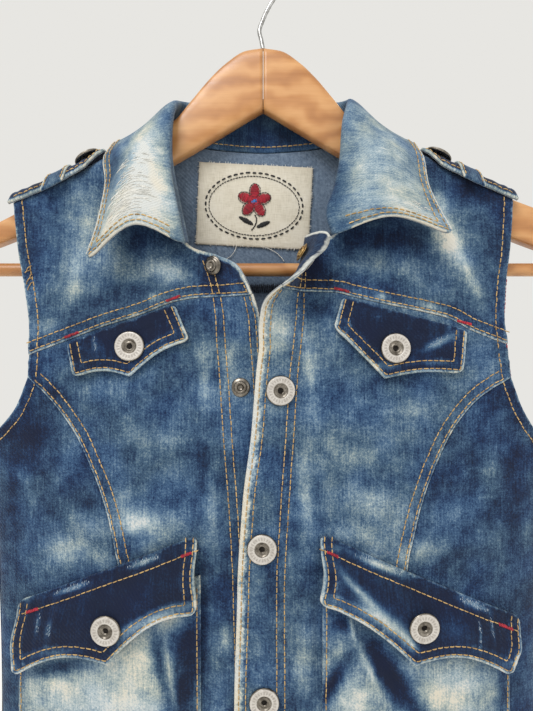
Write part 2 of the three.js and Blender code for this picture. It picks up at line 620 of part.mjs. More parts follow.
function frontPanel(name, front, side, seamTable) {
  const low = seam(seamTable);
  const start = low(0)[1] - SEAM_GAP;
  const end = low(1)[1] - SEAM_GAP;
  const top = (u) => {
    const [x, z] = low(u);
    return [u > 0.999 ? edgeX(front, end) : x, z - SEAM_GAP];
  };
  const flank = seam(ARMHOLE_FLANK, side);
  const princess = seam(PRINCESS, side, -side * 0.3);
  const share = FLANK_ROWS / (FLANK_ROWS + PRINCESS_ROWS);
  const left = (v) => {
    if (v >= share) return princess((v - share) / (1 - share));
    const t = v / share;
    return [flank(t)[0] - side * 0.3 * t, start + (flank(1)[1] - start) * t];
  };
  const right = (v) => {
    const z = end + (HEM_Z - end) * v;
    return [edgeX(front, z), z];
  };
  const bottom = (u) => [left(1)[0] + (right(1)[0] - left(1)[0]) * u, HEM_Z];
  const place = patch(top, bottom, left, right);
  add(name, frontPiece(front, FRONT_STOPS, even(FLANK_ROWS + PRINCESS_ROWS), place), DENIM);
}

function sideFront(name, front, side) {
  const under = seam(ARMHOLE_UNDER, side);
  const princess = seam(PRINCESS, side, side * 0.3);
  const edge = (v) => {
    const z = under(0)[1] + (HEM_Z - under(0)[1]) * v;
    return [middle(z) + side * half(z), z];
  };
  const top = (u) => (u < 0.001 ? edge(0) : u > 0.999 ? princess(0) : under(u));
  const bottom = (u) => [edge(1)[0] + (princess(1)[0] - edge(1)[0]) * u, HEM_Z];
  const place = patch(top, bottom, edge, princess);
  const crowded = even(6).map((u) => 1 - Math.cos((u * Math.PI) / 2));
  add(name, frontPiece(front, crowded, even(PRINCESS_ROWS), place), DENIM);
}

function backYoke() {
  const neck = seam(BACK_NECK);
  const share = BACK_SHOULDER_SHARE;
  const top = (u) => {
    if (u <= share) return shoulderEdge(-1, u / share);
    if (u >= 1 - share) return shoulderEdge(1, (1 - u) / share);
    return neck((u - share) / (1 - 2 * share));
  };
  const arm = seam(ARMHOLE_BACK);
  const armAt = (v, side) => {
    const tipZ = shoulderEdge(side, 0)[1];
    return [side * arm(v)[0], tipZ + (BACK_YOKE_Z + SEAM_GAP - tipZ) * v];
  };
  const bottom = (u) => [armAt(1, -1)[0] * (1 - 2 * u), BACK_YOKE_Z + SEAM_GAP];
  const place = patch(top, bottom, (v) => armAt(v, -1), (v) => armAt(v, 1));
  const west = [0, 0.06, 0.12, 0.18, 0.24, 0.3, 0.3025, 0.306, 0.315, 0.33, 0.36, 0.42];
  const stops = [...west, 0.5, ...west.map((u) => 1 - u).reverse()];
  add("back_yoke", backPiece(stops, YOKE_STOPS, place), DENIM);
}

function backPanel() {
  const arm = seam(ARMHOLE_BACK_LOW);
  const share = 0.35;
  const edge = (v, side) => {
    if (v < share) {
      const [x, z] = arm(v / share);
      return [side * x, v === 0 ? BACK_YOKE_Z - SEAM_GAP : z];
    }
    const z = UNDERARM_Z + ((HEM_Z - UNDERARM_Z) * (v - share)) / (1 - share);
    return [middle(z) + side * half(z), z];
  };
  const line = (v) => (u) => {
    const [a, b] = [edge(v, -1), edge(v, 1)];
    return [a[0] + (b[0] - a[0]) * u, a[1]];
  };
  const place = patch(line(0), line(1), (v) => edge(v, -1), (v) => edge(v, 1));
  const crowded = even(14).map((u) => (1 - Math.cos(u * Math.PI)) / 2);
  add("back_panel", backPiece(crowded, even(17), place), DENIM);
}

// One section of the collar, as points from the neck seam over the fold to the edge
function collarSection(u) {
  const get = (column) =>
    new THREE.Vector3(
      ...[0, 1, 2].map((axis) =>
        track(COLLAR.map((r) => ({ u: r.u, value: r[column][axis] })), "u", "value")(u),
      ),
    );
  const [neck, rise, turn, mid, edge] = ["neck", "rise", "turn", "mid", "edge"].map(get);
  const up = rise.clone().sub(neck).normalize().add(turn.clone().sub(edge).normalize()).normalize();
  const crown = rise.clone().add(turn).multiplyScalar(0.5).addScaledVector(up, FOLD_ROLL);
  return new THREE.CatmullRomCurve3([neck, rise, crown, turn, mid, edge], false, "centripetal");
}

const COLLAR_COLUMNS = 32;
const COLLAR_STOPS = [0, 0.1, 0.2, 0.27, 0.33, 0.4, 0.47, 0.53, 0.6, 0.7, 0.8, 0.9, 1];

function collar() {
  const curves = new Map();
  const curveAt = (u) => {
    const key = u.toFixed(5);
    if (!curves.has(key)) curves.set(key, collarSection(u));
    return curves.get(key);
  };
  const point = (u, t) => curveAt(u).getPoint(Math.min(1, Math.max(0, t)));
  const geometry = wall(even(COLLAR_COLUMNS), COLLAR_STOPS, (s, t) => {
    const u = 2 * s - 1;
    const h = 0.004;
    const across = point(Math.min(1, u + h), t).sub(point(Math.max(-1, u - h), t));
    const down = point(u, t + h).sub(point(u, t - h));
    const n = across.cross(down).normalize();
    return layer(point(u, t), n, -DOUBLE / 2, DOUBLE / 2);
  });
  add("collar", geometry, FADED);
}

// A flap's lower edge: two scalloped runs that meet in a point
function flapEdge(f) {
  return (u) => {
    const tipAt = 0.5;
    const [from, to, scoop] = u < tipAt ? [f.lowIn, f.tip, f.scoopIn] : [f.tip, f.lowOut, f.scoopOut];
    const s = u < tipAt ? u / tipAt : (u - tipAt) / (1 - tipAt);
    const draw = scoop * Math.sin(Math.PI * s);
    return [from[0] + (to[0] - from[0]) * s, from[1] + (to[1] - from[1]) * s + draw];
  };
}

const straight = (a, b) => (t) => [a[0] + (b[0] - a[0]) * t, a[1] + (b[1] - a[1]) * t];

// Height of a flap's underside over the front, by its share down
function flapHeight(f, v) {
  return LAID_GAP + f.lift * smooth(v * 1.6);
}

function flap(f) {
  const place = patch(straight(f.topIn, f.topOut), flapEdge(f), straight(f.topIn, f.lowIn), straight(f.topOut, f.lowOut));
  const geometry = wall(even(10), even(4), (u, v) => {
    const [x, z] = place(u, v);
    const p = bodyPoint(1, x, z);
    const low = flapHeight(f, v);
    return layer(p, bodyNormal(1, p), low, low + DOUBLE);
  });
  add(f.name, geometry, DARK_DENIM);
}

// How far a pocket's cloth stands off the front, by its shares across and down
function pocketPuff(u, v) {
  const rim = Math.sin(Math.PI * Math.min(1, Math.max(0, u))) ** 0.6;
  const foot = 1 - smooth((v - 0.7) / 0.3);
  let high = POCKET_PUFF * rim * foot;
  for (const p of PLEATS) high += rim * foot * ridge(u, v, p.u0, p.v0, p.u1, p.v1, p.wide, p.high);
  return high * smooth(0.25 + 3 * v);
}

function pocket(k) {
  const bottom = straight([k.inner, k.low], [k.outer, k.low + 3]);
  const top = straight([k.inner, k.topIn], [k.outer, k.topOut]);
  const place = patch(top, bottom, straight(top(0), bottom(0)), straight(top(1), bottom(1)));
  const geometry = wall(even(12), even(8), (u, v) => {
    const [x, z] = place(u, v);
    const p = bodyPoint(1, x, z);
    const low = LAID_GAP + pocketPuff(u, v);
    return layer(p, bodyNormal(1, p), low, low + POCKET_WALL);
  });
  add(k.name, geometry, DENIM);
}

// A snap's cap: a flat ring with a rolled rim round a sunk eyelet
function capGeometry() {
  const r = CAP_RADIUS;
  const profile = [
    [0, 0],
    [r - 0.6, 0],
    [r, 1],
    [r - 0.9, 2],
    [0.42 * r, 1.7],
    [0, 0.8],
  ];
  return new THREE.LatheGeometry(profile.map(([x, y]) => new THREE.Vector2(x, y)), 12);
}

// The snap's lower half: a domed foot and a raised ring
function studGeometry() {
  const r = STUD_RADIUS;
  const profile = [
    [0, 0],
    [r, 0],
    [r, 0.9],
    [0.66 * r, 1.6],
    [0.6 * r, 3.2],
    [0.32 * r, 3.2],
    [0, 1.4],
  ];
  return new THREE.LatheGeometry(profile.map(([x, y]) => new THREE.Vector2(x, y)), 12);
}

// Sets a turned piece on the cloth, its axis along the normal
function seat(name, geometry, point, normal, lift) {
  const mesh = add(name, geometry, METAL);
  mesh.quaternion.setFromUnitVectors(new THREE.Vector3(0, 1, 0), normal);
  mesh.position.copy(point).addScaledVector(normal, lift);
}

// The caps of the flaps and of the closed band, which is nearly flat below its curl
function caps() {
  const geometry = capGeometry();
  for (const c of CAPS) {
    const f = FLAPS.find((row) => row.name === c.on);
    if (f) {
      const p = bodyPoint(1, c.x, c.z);
      seat(c.name, geometry, p, bodyNormal(1, p), flapHeight(f, 1) + DOUBLE + LAID_GAP);
    } else {
      const p = frontPoint(FRONTS.left, c.x, c.z);
      seat(c.name, geometry, p, frontNormal(FRONTS.left, c.x, c.z), CAP_GAP);
    }
  }
}

// The top snap: its cap on the outside of the curled band and its socket inside it,
// and the two studs that show on the right band
function topSnaps() {
  const left = FRONTS.left;
  const n = frontNormal(left, TOP_SNAP.a, TOP_SNAP.z);
  const p = frontPoint(left, TOP_SNAP.a, TOP_SNAP.z);
  seat("cap_front_1", capGeometry(), p, n, TOP_SNAP.gap);
  seat("socket_front_1", studGeometry().scale(1, 0.5, 1), p, n.clone().negate(), CLOTH + TOP_SNAP.gap);
  const right = FRONTS.right;
  for (const s of STUDS)
    seat(s.name, studGeometry(), frontPoint(right, s.a, s.z), frontNormal(right, s.a, s.z), s.gap);
}

// Shoulder straps: each lies along the shoulder seam, arched a little, and lifts at its neck end
const STRAP_OUT = 169;
const STRAP_IN = 108.5;
const STRAP_HALF = 13.5;
const STRAP_GAP = 0.9;
const STRAP_ARCH = 9;

function strapPoint(side, x, across, lift) {
  const toNeck = smooth((150 - x) / 42);
  const off = Math.abs(across);
  const arch = STRAP_ARCH * Math.min(1, off) ** 2.4 + 20 * Math.max(0, off - 1);
  const z = shoulderZ(side * x) + STRAP_GAP + lift * toNeck - arch;
  return new THREE.Vector3(side * x, 1 + STRAP_HALF * across, z);
}

// Sideways lean of the strap's normal
const strapLean = (across) => Math.sign(across) * 1.5 * Math.min(1.2, Math.abs(across)) ** 1.4;

function strap(name, side, lift) {
  const geometry = wall(even(10), even(4), (u, v) => {
    const taper = 1 - 0.45 * smooth((u - 0.8) / 0.2);
    const x = STRAP_OUT + (STRAP_IN - STRAP_OUT) * u;
    const across = (2 * v - 1) * taper;
    const p = strapPoint(side, x, across, lift);
    const n = new THREE.Vector3(0, strapLean(across), 1).normalize();
    return layer(p, n, 0, DOUBLE);
  });
  add("shoulder_strap_" + name, geometry, DENIM);
  const loop = wall(even(2), even(8), (u, v) => {
    const x = 131.5 + 14 * u;
    const across = (2 * v - 1) * 1.2;
    const p = strapPoint(side, x, across, lift);
    const n = new THREE.Vector3(0, strapLean(across), 1).normalize();
    return layer(p, n, DOUBLE + 0.5, DOUBLE + 2.1);
  });
  add("strap_loop_" + name, loop, DENIM);
  const seatPoint = strapPoint(side, 119, 0, lift);
  const near = strapPoint(side, 117, 0, lift);
  const along = strapPoint(side, 121, 0, lift).sub(near);
  const n = new THREE.Vector3(-along.z, 0, along.x).normalize();
  if (n.z < 0) n.negate();
  seat("cap_strap_" + name, capGeometry(), seatPoint, n, DOUBLE + 0.5);
}

// The sewn-in patch at the back of the neck, on the inside
const PATCH = { x: -6.5, z: -182, wide: 80, tall: 57, turn: rad(-3) };
const PATCH_WALL = 1;

function neckPatch() {
  const geometry = wall(even(6), even(4), (u, v) => {
    const a = (u - 0.5) * PATCH.wide;
    const b = (0.5 - v) * PATCH.tall;
    const x = PATCH.x + a * Math.cos(PATCH.turn) - b * Math.sin(PATCH.turn);
    const z = PATCH.z + a * Math.sin(PATCH.turn) + b * Math.cos(PATCH.turn);
    const p = bodyPoint(-1, x, z);
    const low = -CLOTH - LAID_GAP - PATCH_WALL;
    return layer(p, bodyNormal(-1, p), low, low + PATCH_WALL);
  });
  add("neck_patch", geometry, CANVAS);
}

// The hanger: two arms that meet in the middle, a round bar and a wire hook
const ARM_LOW = [
  { x: 0, z: -120 },
  { x: 60, z: -155.3 },
  { x: 110, z: -181 },
  { x: 168, z: -207.5 },
  { x: 204, z: -221 },
];
const TIP_LOW_Z = -239;
const TIP_X = 224;

function hangerArm(name, side) {
  const shape = new THREE.Shape();
  const top = crest[side];
  const joint = 0.15 + WOOD_BEVEL;
  const inset = WOOD_BEVEL;
  const stops = [joint, 8, 16, 25, 36, 49, 60, 70, 80, 95, 110, 130, 150, 170, 185, 200, 212];
  const low = track(ARM_LOW, "x", "z");
  shape.moveTo(joint, top(joint) - inset);
  for (const x of stops.slice(1)) shape.lineTo(x, top(x) - inset);
  shape.quadraticCurveTo(TIP_X, top(TIP_X) - 2, TIP_X, top(TIP_X) - 13);
  shape.quadraticCurveTo(TIP_X - 1, TIP_LOW_Z + inset, 212, TIP_LOW_Z + inset);
  shape.lineTo(204 + inset, TIP_LOW_Z + inset);
  for (const x of [204, 168, 140, 110, 85, 60, 30]) shape.lineTo(x + (x === 204 ? inset : 0), low(x) + inset);
  shape.lineTo(joint, low(0) + inset);
  const geometry = new THREE.ExtrudeGeometry(shape, {
    depth: WOOD_THICK - 2 * WOOD_BEVEL,
    bevelEnabled: true,
    bevelThickness: WOOD_BEVEL,
    bevelSize: WOOD_BEVEL,
    bevelSegments: 1,
    curveSegments: 4,
  });
  geometry.translate(0, 0, -WOOD_THICK / 2 + WOOD_BEVEL);
  const mesh = add(name, geometry, WOOD);
  mesh.rotation.x = Math.PI / 2;
  if (side < 0) mesh.scale.x = -1;
}

function hangerBar() {
  const bar = new THREE.CylinderGeometry(BAR_RADIUS, BAR_RADIUS, 2 * BAR_HALF, 14);
  const mesh = add("hanger_bar", bar, WOOD);
  mesh.rotation.z = Math.PI / 2;
  mesh.position.z = BAR_Z;
}

function hook() {
  const top = HOOK_BEND - WIRE_RADIUS;
  const points = [
    [0, WOOD_TOP_Z + 0.6],
    [-1.2, -71],
    [-2.6, -64.5],
    [-0.6, -58],
    [3.4, -49],
    [8.6, -40.5],
    [15.4, -32],
  ];
  for (let angle = -8; angle <= 205; angle += 14) {
    const a = rad(angle);
    points.push([HOOK_BEND * Math.cos(a), HOOK_BEND * Math.sin(a) - top]);
  }
  const path = new THREE.CatmullRomCurve3(points.map(([x, z]) => new THREE.Vector3(x, 0, z)));
  const section = new THREE.Shape().absarc(0, 0, WIRE_RADIUS, 0, 2 * Math.PI);
  const geometry = new THREE.ExtrudeGeometry(section, { extrudePath: path, steps: 34, curveSegments: 4 });
  add("hanger_hook", geometry, METAL);
}

frontYoke("yoke_front_right", FRONTS.right, -1, NECK_RIGHT, YOKE_SEAM_RIGHT, -240);
frontYoke("yoke_front_left", FRONTS.left, 1, NECK_LEFT, YOKE_SEAM_LEFT, -214.5);
frontPanel("front_right", FRONTS.right, -1, YOKE_SEAM_RIGHT);
frontPanel("front_left", FRONTS.left, 1, YOKE_SEAM_LEFT);
sideFront("side_front_right", FRONTS.right, -1);
sideFront("side_front_left", FRONTS.left, 1);
backYoke();
backPanel();
collar();
for (const k of POCKETS) pocket(k);
for (const f of FLAPS) flap(f);
caps();
topSnaps();
strap("right", -1, 3);
strap("left", 1, 1);
neckPatch();
hangerArm("hanger_arm_right", -1);
hangerArm("hanger_arm_left", 1);
hangerBar();
hook();

export default vest;
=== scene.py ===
"""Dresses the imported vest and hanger: fine cloth on the solids' form, stitching, snaps, wood and wire.

Lengths are millimetres in the tables and metres in Blender. +Z is up and the front faces -Y.
"right" and "left" are the wearer's, so right is at negative X.
"""
import math

import bmesh
import bpy
import numpy as np
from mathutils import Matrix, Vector


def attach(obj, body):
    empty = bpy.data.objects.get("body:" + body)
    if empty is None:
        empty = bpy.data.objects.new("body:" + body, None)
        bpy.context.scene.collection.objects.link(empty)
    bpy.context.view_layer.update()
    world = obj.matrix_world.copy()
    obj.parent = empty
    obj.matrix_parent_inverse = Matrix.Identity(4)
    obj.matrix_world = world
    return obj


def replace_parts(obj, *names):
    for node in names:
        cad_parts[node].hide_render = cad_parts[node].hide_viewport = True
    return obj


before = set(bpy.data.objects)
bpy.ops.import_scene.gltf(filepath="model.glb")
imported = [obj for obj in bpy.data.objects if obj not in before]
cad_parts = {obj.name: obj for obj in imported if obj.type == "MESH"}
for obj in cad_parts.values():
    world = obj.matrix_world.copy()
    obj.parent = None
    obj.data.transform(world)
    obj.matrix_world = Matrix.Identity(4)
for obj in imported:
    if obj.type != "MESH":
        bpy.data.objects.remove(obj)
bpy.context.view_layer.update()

MM = 0.001
FINE = 1.9  # grid step of the cloth
FLAP_FINE = 1.5
RNG = np.random.default_rng(7)
SIDES = ((-1, "right"), (1, "left"))


def rows(columns, *values):
    """A table: one header of named columns, and a tuple for each row."""
    names = columns.split()
    return [dict(zip(names, v)) for v in values]


# Sizes shared with the solids
CLOTH = 1.4
DOUBLE = 2.2
SEAM_GAP = 0.25
LAID_GAP = 0.4
HEM_Z = -640
UNDERARM_Z = -350
ROLL = 10
BACK_YOKE_Z = -240
SHOULDER_TIP_X = 167
SHOULDER_NECK_X = 66.4

BODY = rows(
    "z half mid front back",
    (-100, 700, 0, 9.5, 9.8),
    (-160, 620, 0, 10.2, 11.4),
    (-200, 540, 0, 13, 14),
    (-250, 420, 0, 18, 15.5),
    (-300, 262, 0.5, 22.5, 16.5),
    (-325, 209, 1, 23.5, 17),
    (UNDERARM_Z, 192, 1.5, 24, 17),
    (-425, 184.5, 3.5, 25, 17),
    (-519, 183, 4, 23.5, 17),
    (HEM_Z, 188, 4, 25, 18.5),
)
CREST = rows(
    "x right left",
    (0, -78, -78),
    (12, -79.8, -79.8),
    (25, -88, -88),
    (36, -98.5, -98.5),
    (49, -114, -114),
    (60, -127, -127),
    (80, -140.5, -139),
    (110, -158, -155),
    (130, -169, -164.5),
    (150, -180.5, -173),
    (170, -192, -181.5),
    (200, -206, -192.5),
    (224, -213, -201),
)
SHOULDER = rows(
    "x right left",
    (50, -112.5, -112.5),
    (60, -122.6, -122.6),
    (66.4, -127.6, -127.6),
    (80, -136.4, -135.4),
    (110, -153.6, -150.8),
    (130, -163.2, -160),
    (150, -171.8, -168.8),
    (170, -180, -177.6),
)
LEFT_BAND = rows(
    "z seam width curl",
    (-208, 31.5, 30, 240),
    (-221, 30, 30, 222),
    (-230, 28.4, 30, 186),
    (-238, 28, 30, 154),
    (-243, 27.6, 30, 126),
    (-248, 27.3, 30, 94),
    (-253, 27.1, 29.8, 62),
    (-259, 27, 29.6, 38),
    (-272, 26, 28.8, 20),
    (-285, 24.5, 27, 13),
    (-300, 22.8, 27, 9),
    (-336, 20.4, 27.4, 4),
    (-382, 17.1, 29.8, 0),
    (-440, 14.2, 30.3, 0),
    (-515, 14.4, 32.5, 0),
    (HEM_Z, 14.5, 32.5, 0),
)
RIGHT_BAND = rows(
    "z seam width curl",
    (-216, -41.5, 29, 80),
    (-223, -40.7, 29, 78),
    (-234, -37, 29, 66),
    (-246.5, -33.4, 29, 52),
    (-256, -32, 29, 30),
    (-264, -31, 29, 13),
    (-272, -30.6, 29, 5),
    (-280, -30.1, 29, 0),
    (-302, -28.2, 29, 0),
    (-336, -26, 29, 0),
    (-388, -22, 29, 0),
    (-432, -19.7, 29, 0),
    (-516, -17.9, 29, 0),
    (HEM_Z, -17.5, 29, 0),
)
OVER_LAP = 1.9
UNDER_LAP = 1.1
LAP_RAMP = 14
BENDS = rows("start end share", (0, 0.22, 0.5), (0.22, 0.72, 0), (0.72, 1, 0.5))

FOLDS = rows(
    "side x0 z0 x1 z1 wide high",
    (1, 46, -268, 30, -420, 11, 2.6),
    (1, 31, -430, 28, -600, 12, 2.2),
    (1, 92, -372, 96, -398, 34, 3.5),
    (1, 60, -330, 84, -374, 13, 1.8),
    (1, 130, -560, 96, -625, 16, 3),
    (1, -40, -262, -35, -420, 12, 2.4),
    (1, -92, -372, -96, -398, 34, 3.5),
    (1, -112, -318, -82, -352, 12, 2.2),
    (1, -70, -312, -96, -352, 12, 1.8),
    (1, -128, -565, -100, -628, 16, 3),
    (-1, -60, -300, -84, -560, 20, 3.2),
    (-1, 52, -320, 78, -600, 22, 3.4),
    (-1, -132, -372, -104, -430, 16, 2.4),
    (-1, 136, -380, 108, -446, 16, 2.4),
    (-1, -4, -420, 6, -636, 24, 2.6),
)

ARMHOLE_FRONT = rows(
    "t right left z",
    (0, 167, 167, -180),
    (0.12, 165.2, 166, -196),
    (0.3, 161.6, 163.6, -220),
    (0.5, 156.3, 159.8, -244),
    (0.75, 152.8, 158, -268),
    (1, 152.6, 159.4, -284.5),
)
ARMHOLE_FLANK = rows("t right left z", (0, 152.6, 159.4, -284.5), (1, 153.4, 162, -302))
ARMHOLE_UNDER = rows(
    "t right left z",
    (0, 192.5, 193.5, -350),
    (0.35, 175.5, 180.6, -336),
    (0.65, 163, 171, -322),
    (1, 153.4, 162, -302),
)
ARMHOLE_BACK = rows("t x z", (0, 167, -180), (0.5, 165, -212), (1, 162.5, -240))
ARMHOLE_BACK_LOW = rows(
    "t x z",
    (0, 162.5, -240),
    (0.35, 161, -275),
    (0.65, 165, -306),
    (0.85, 176, -331),
    (1, 193.5, -350),
)
PRINCESS = rows(
    "t right left z",
    (0, 153.4, 162, -302),
    (0.075, 139.5, 141, -316),
    (0.125, 129.5, 129.5, -328.5),
    (0.165, 121.5, 121.5, -340.4),
    (0.215, 113, 113, -357),
    (0.26, 106, 106, -373),
    (0.31, 100.5, 100.5, -390),
    (0.36, 96.5, 96.5, -407),
    (0.41, 93.5, 93.5, -422),
    (0.6, 90, 90, -490),
    (1, 88, 88, HEM_Z),
)
YOKE_SEAM = {
    -1: rows(
        "t x z",
        (0, -152.6, -287.5),
        (0.24, -122.3, -276),
        (0.36, -104, -269),
        (0.5, -81, -261.7),
        (0.65, -56.6, -252.5),
        (0.74, -42.3, -250.3),
        (1, -4, -249),
    ),
    1: rows(
        "t x z",
        (0, 159.4, -280.5),
        (0.17, 134, -270.5),
        (0.25, 122.3, -264),
        (0.37, 102.8, -259),
        (0.5, 81, -254.5),
        (0.63, 61, -250),
        (0.74, 46, -246.5),
        (1, -2.5, -245.5),
    ),
}
NECK = {
    -1: rows(
        "t x z",
        (0, -66.4, -127.6),
        (0.15, -65, -146),
        (0.3, -61.8, -167),
        (0.45, -57, -190),
        (0.6, -52, -211),
        (0.68, -47, -216.4),
        (0.82, -28, -223),
        (0.93, -12, -231),
        (1, -6.4, -240),
    ),
    1: rows(
        "t x z",
        (0, 66.4, -127.6),
        (0.15, 65, -146),
        (0.3, 60.8, -165),
        (0.45, 55, -184),
        (0.6, 49, -202),
        (0.68, 44, -209.6),
        (0.86, 20, -210.2),
        (0.96, 5, -211.5),
        (1, 1.2, -214.5),
    ),
}
BACK_NECK = rows(
    "t x z",
    (0, -66.4, -127.6),
    (0.12, -54, -138.6),
    (0.3, -28, -143.6),
    (0.5, 0, -145.2),
    (0.7, 28, -143.6),
    (0.88, 54, -138.6),
    (1, 66.4, -127.6),
)
CORNER_Z = {-1: -240, 1: -214.5}
SHOULDER_SHARE = 0.45
BACK_SHOULDER_SHARE = 0.3
YOKE_STOPS = (0, 0.01, 0.035, 0.08, 0.19, 0.37, 0.58, 0.79, 1)
SEAM_SHARE = rows(
    "top seam",
    (0, 0),
    (0.45, 0.6),
    (0.63, 0.67),
    (0.824, 0.74),
    (0.876, 0.84),
    (1, 1),
)


def smooth(t):
    s = np.clip(t, 0, 1)
    return s * s * (3 - 2 * s)


def track(table, key, column):
    """Monotone cubic interpolation through a table's rows, keyed by one column."""
    ordered = sorted(table, key=lambda r: r[key])
    k = np.array([r[key] for r in ordered], float)
    v = np.array([r[column] for r in ordered], float)
    slope = np.diff(v) / np.diff(k)
    tangent = np.concatenate([slope[:1], np.zeros(len(k) - 2), slope[-1:]])
    same = slope[:-1] * slope[1:] > 0
    total = np.where(same, slope[:-1] + slope[1:], 1)
    tangent[1:-1] = np.where(same, 2 * slope[:-1] * slope[1:] / total, 0)
    runs_on = 1.0 if key == "t" else 0.0

    def value(at):
        at = np.asarray(at, float)
        i = np.clip(np.searchsorted(k, at, side="right") - 1, 0, len(k) - 2)
        h = k[i + 1] - k[i]
        s = (at - k[i]) / h
        s2, s3 = s * s, s * s * s
        inside = (
            (2 * s3 - 3 * s2 + 1) * v[i]
            + (s3 - 2 * s2 + s) * h * tangent[i]
            + (3 * s2 - 2 * s3) * v[i + 1]
            + (s3 - s2) * h * tangent[i + 1]
        )
        low = v[0] + (at - k[0]) * tangent[0] * runs_on
        high = v[-1] + (at - k[-1]) * tangent[-1] * runs_on
        return np.where(at <= k[0], low, np.where(at >= k[-1], high, inside))

    return value


HALF = track(BODY, "z", "half")
MIDDLE = track(BODY, "z", "mid")
DEPTH = {1: track(BODY, "z", "front"), -1: track(BODY, "z", "back")}
SHOULDER_LINE = {1: track(SHOULDER, "x", "left"), -1: track(SHOULDER, "x", "right")}
COLUMN = {0: "x", 1: "left", -1: "right"}


def seam(table, side=0, dx=0.0):
    """A seam as a function of t, giving x and z."""
    x = track(table, "t", COLUMN[side])
    z = track(table, "t", "z")
    return lambda t: (((side or 1) * x(t)) + dx, z(t))


def shoulder_z(x):
    x = np.asarray(x, float)
    return np.where(x < 0, SHOULDER_LINE[-1](np.abs(x)), SHOULDER_LINE[1](np.abs(x)))


def ridge(x, z, x0, z0, x1, z1, wide, high):
    dx, dz = x1 - x0, z1 - z0
    along = ((x - x0) * dx + (z - z0) * dz) / (dx * dx + dz * dz)
    held = np.clip(along, 0, 1)
    off = np.hypot(x - x0 - held * dx, z - z0 - held * dz) / wide
    return high * np.exp(-off * off)


def depth_squared(side, x, z):
    across = (x - MIDDLE(z)) / HALF(z)
    down = shoulder_z(x) - z
    over = np.where(down < ROLL, 1 - (1 - down / ROLL) ** 2, 1)
    return DEPTH[side](z) ** 2 * (1 - across * across) * over


def fold_height(side, x, z):
    across = (x - MIDDLE(z)) / HALF(z)
    down = shoulder_z(x) - z
    fade = np.clip(1 - across * across, 0, None) * smooth(down / 40)
    high = np.zeros(np.broadcast(x, z).shape)
    for f in FOLDS:
        if f["side"] == side:
            high = high + ridge(x, z, f["x0"], f["z0"], f["x1"], f["z1"], f["wide"], f["high"])
    return high * fade


def body_point(side, x, z):
    x, z = np.broadcast_arrays(np.asarray(x, float), np.asarray(z, float))
    deep = np.sqrt(np.clip(depth_squared(side, x, z), 0, None)) + fold_height(side, x, z)
    return np.stack([x, -side * np.maximum(deep, SEAM_GAP), z], -1)


def unit(v):
    return v / np.maximum(np.linalg.norm(v, axis=-1, keepdims=True), 1e-12)


def body_normal(side, p):
    def f(dx, dy, dz):
        x, y, z = p[..., 0] + dx, p[..., 1] + dy, p[..., 2] + dz
        return (-side * y - fold_height(side, x, z)) ** 2 - depth_squared(side, x, z)

    h = 0.01
    steps = [(h, 0, 0), (0, h, 0), (0, 0, h)]
    return unit(np.stack([f(*s) - f(*(-c for c in s)) for s in steps], -1))


def arc(length, angle, turn):
    turn = np.where(np.abs(turn) < 1e-4, 1e-4, turn)
    radius = length / turn
    return (
        radius * (np.sin(angle + turn) - np.sin(angle)),
        radius * (np.cos(angle) - np.cos(angle + turn)),
    )


class Front:
    """One front of the vest, where a is the distance along the cloth in X."""

    def __init__(self, table, side, lap):
        self.toward = -side
        self.lap = lap
        self.seam = track(table, "z", "seam")
        self.width = track(table, "z", "width")
        self.curl = track(table, "z", "curl")

    def edge(self, z):
        return self.seam(z) + self.toward * self.width(z)

    def reach(self, a, z):
        return self.toward * (a - self.seam(z))

    def point(self, a, z):
        a, z = np.broadcast_arrays(np.asarray(a, float), np.asarray(z, float))
        reach = np.maximum(self.reach(a, z), 0)
        width, curl = self.width(z), np.radians(self.curl(z))
        p = body_point(1, np.where(reach > 0, self.seam(z), a), z).copy()
        angle = np.zeros(a.shape)
        for b in BENDS:
            span = b["end"] - b["start"]
            part = np.maximum(0, reach / width - b["start"]) / span
            if b["end"] < 1:
                part = np.minimum(1, part)
            along, out = arc(part * span * width, angle, part * b["share"] * curl)
            p[..., 0] += self.toward * along
            p[..., 1] -= out
            angle = angle + part * b["share"] * curl
        p[..., 1] -= self.lap * smooth(reach / LAP_RAMP)
        return p

    def normal(self, a, z):
        h = 0.05
        da = self.point(a + h, z) - self.point(a - h, z)
        dz = self.point(a, z + h) - self.point(a, z - h)
        bent = unit(np.cross(da, dz))
        plain = body_normal(1, body_point(1, a, z))
        return np.where((self.reach(a, z) > 0)[..., None], bent, plain)


class Back:
    def point(self, a, z):
        return body_point(-1, a, z)

    def normal(self, a, z):
        return body_normal(-1, body_point(-1, a, z))


FRONTS = {-1: Front(RIGHT_BAND, -1, -UNDER_LAP), 1: Front(LEFT_BAND, 1, OVER_LAP)}
BACK = Back()


def patch(top, bottom, left, right):
    """A patch between four edges, each a function of its share."""

    def mix(a, b, t):
        return [a[k] + (b[k] - a[k]) * t for k in (0, 1)]

    def place(u, v):
        rows_, columns = mix(top(u), bottom(u), v), mix(left(v), right(v), u)
        zero, one = np.zeros(1), np.ones(1)
        flat = mix(mix(top(zero), top(one), u), mix(bottom(zero), bottom(one), u), v)
        return [rows_[k] + columns[k] - flat[k] for k in (0, 1)]

    return place


def rounded(low_u, high_u, high_v, size_u, size_v, near=None):
    """Pulls a sheet's corners at its far edge in to a curve: a map of its own two coordinates.
    The corners at its near edge, v = 0, are rounded too where their size is given."""

    def place(u, v):
        p = np.maximum(u - (high_u - size_u), 0) / size_u - np.maximum(low_u + size_u - u, 0) / size_u
        q = np.maximum(v - (high_v - size_v), 0) / size_v
        if near:
            q = q - np.maximum(near - v, 0) / near
        new_p, new_q = p * np.sqrt(1 - q * q / 2), q * np.sqrt(1 - p * p / 2)
        return u + (new_p - p) * size_u, v + (new_q - q) * np.where(q < 0, near or 0, size_v)

    return place


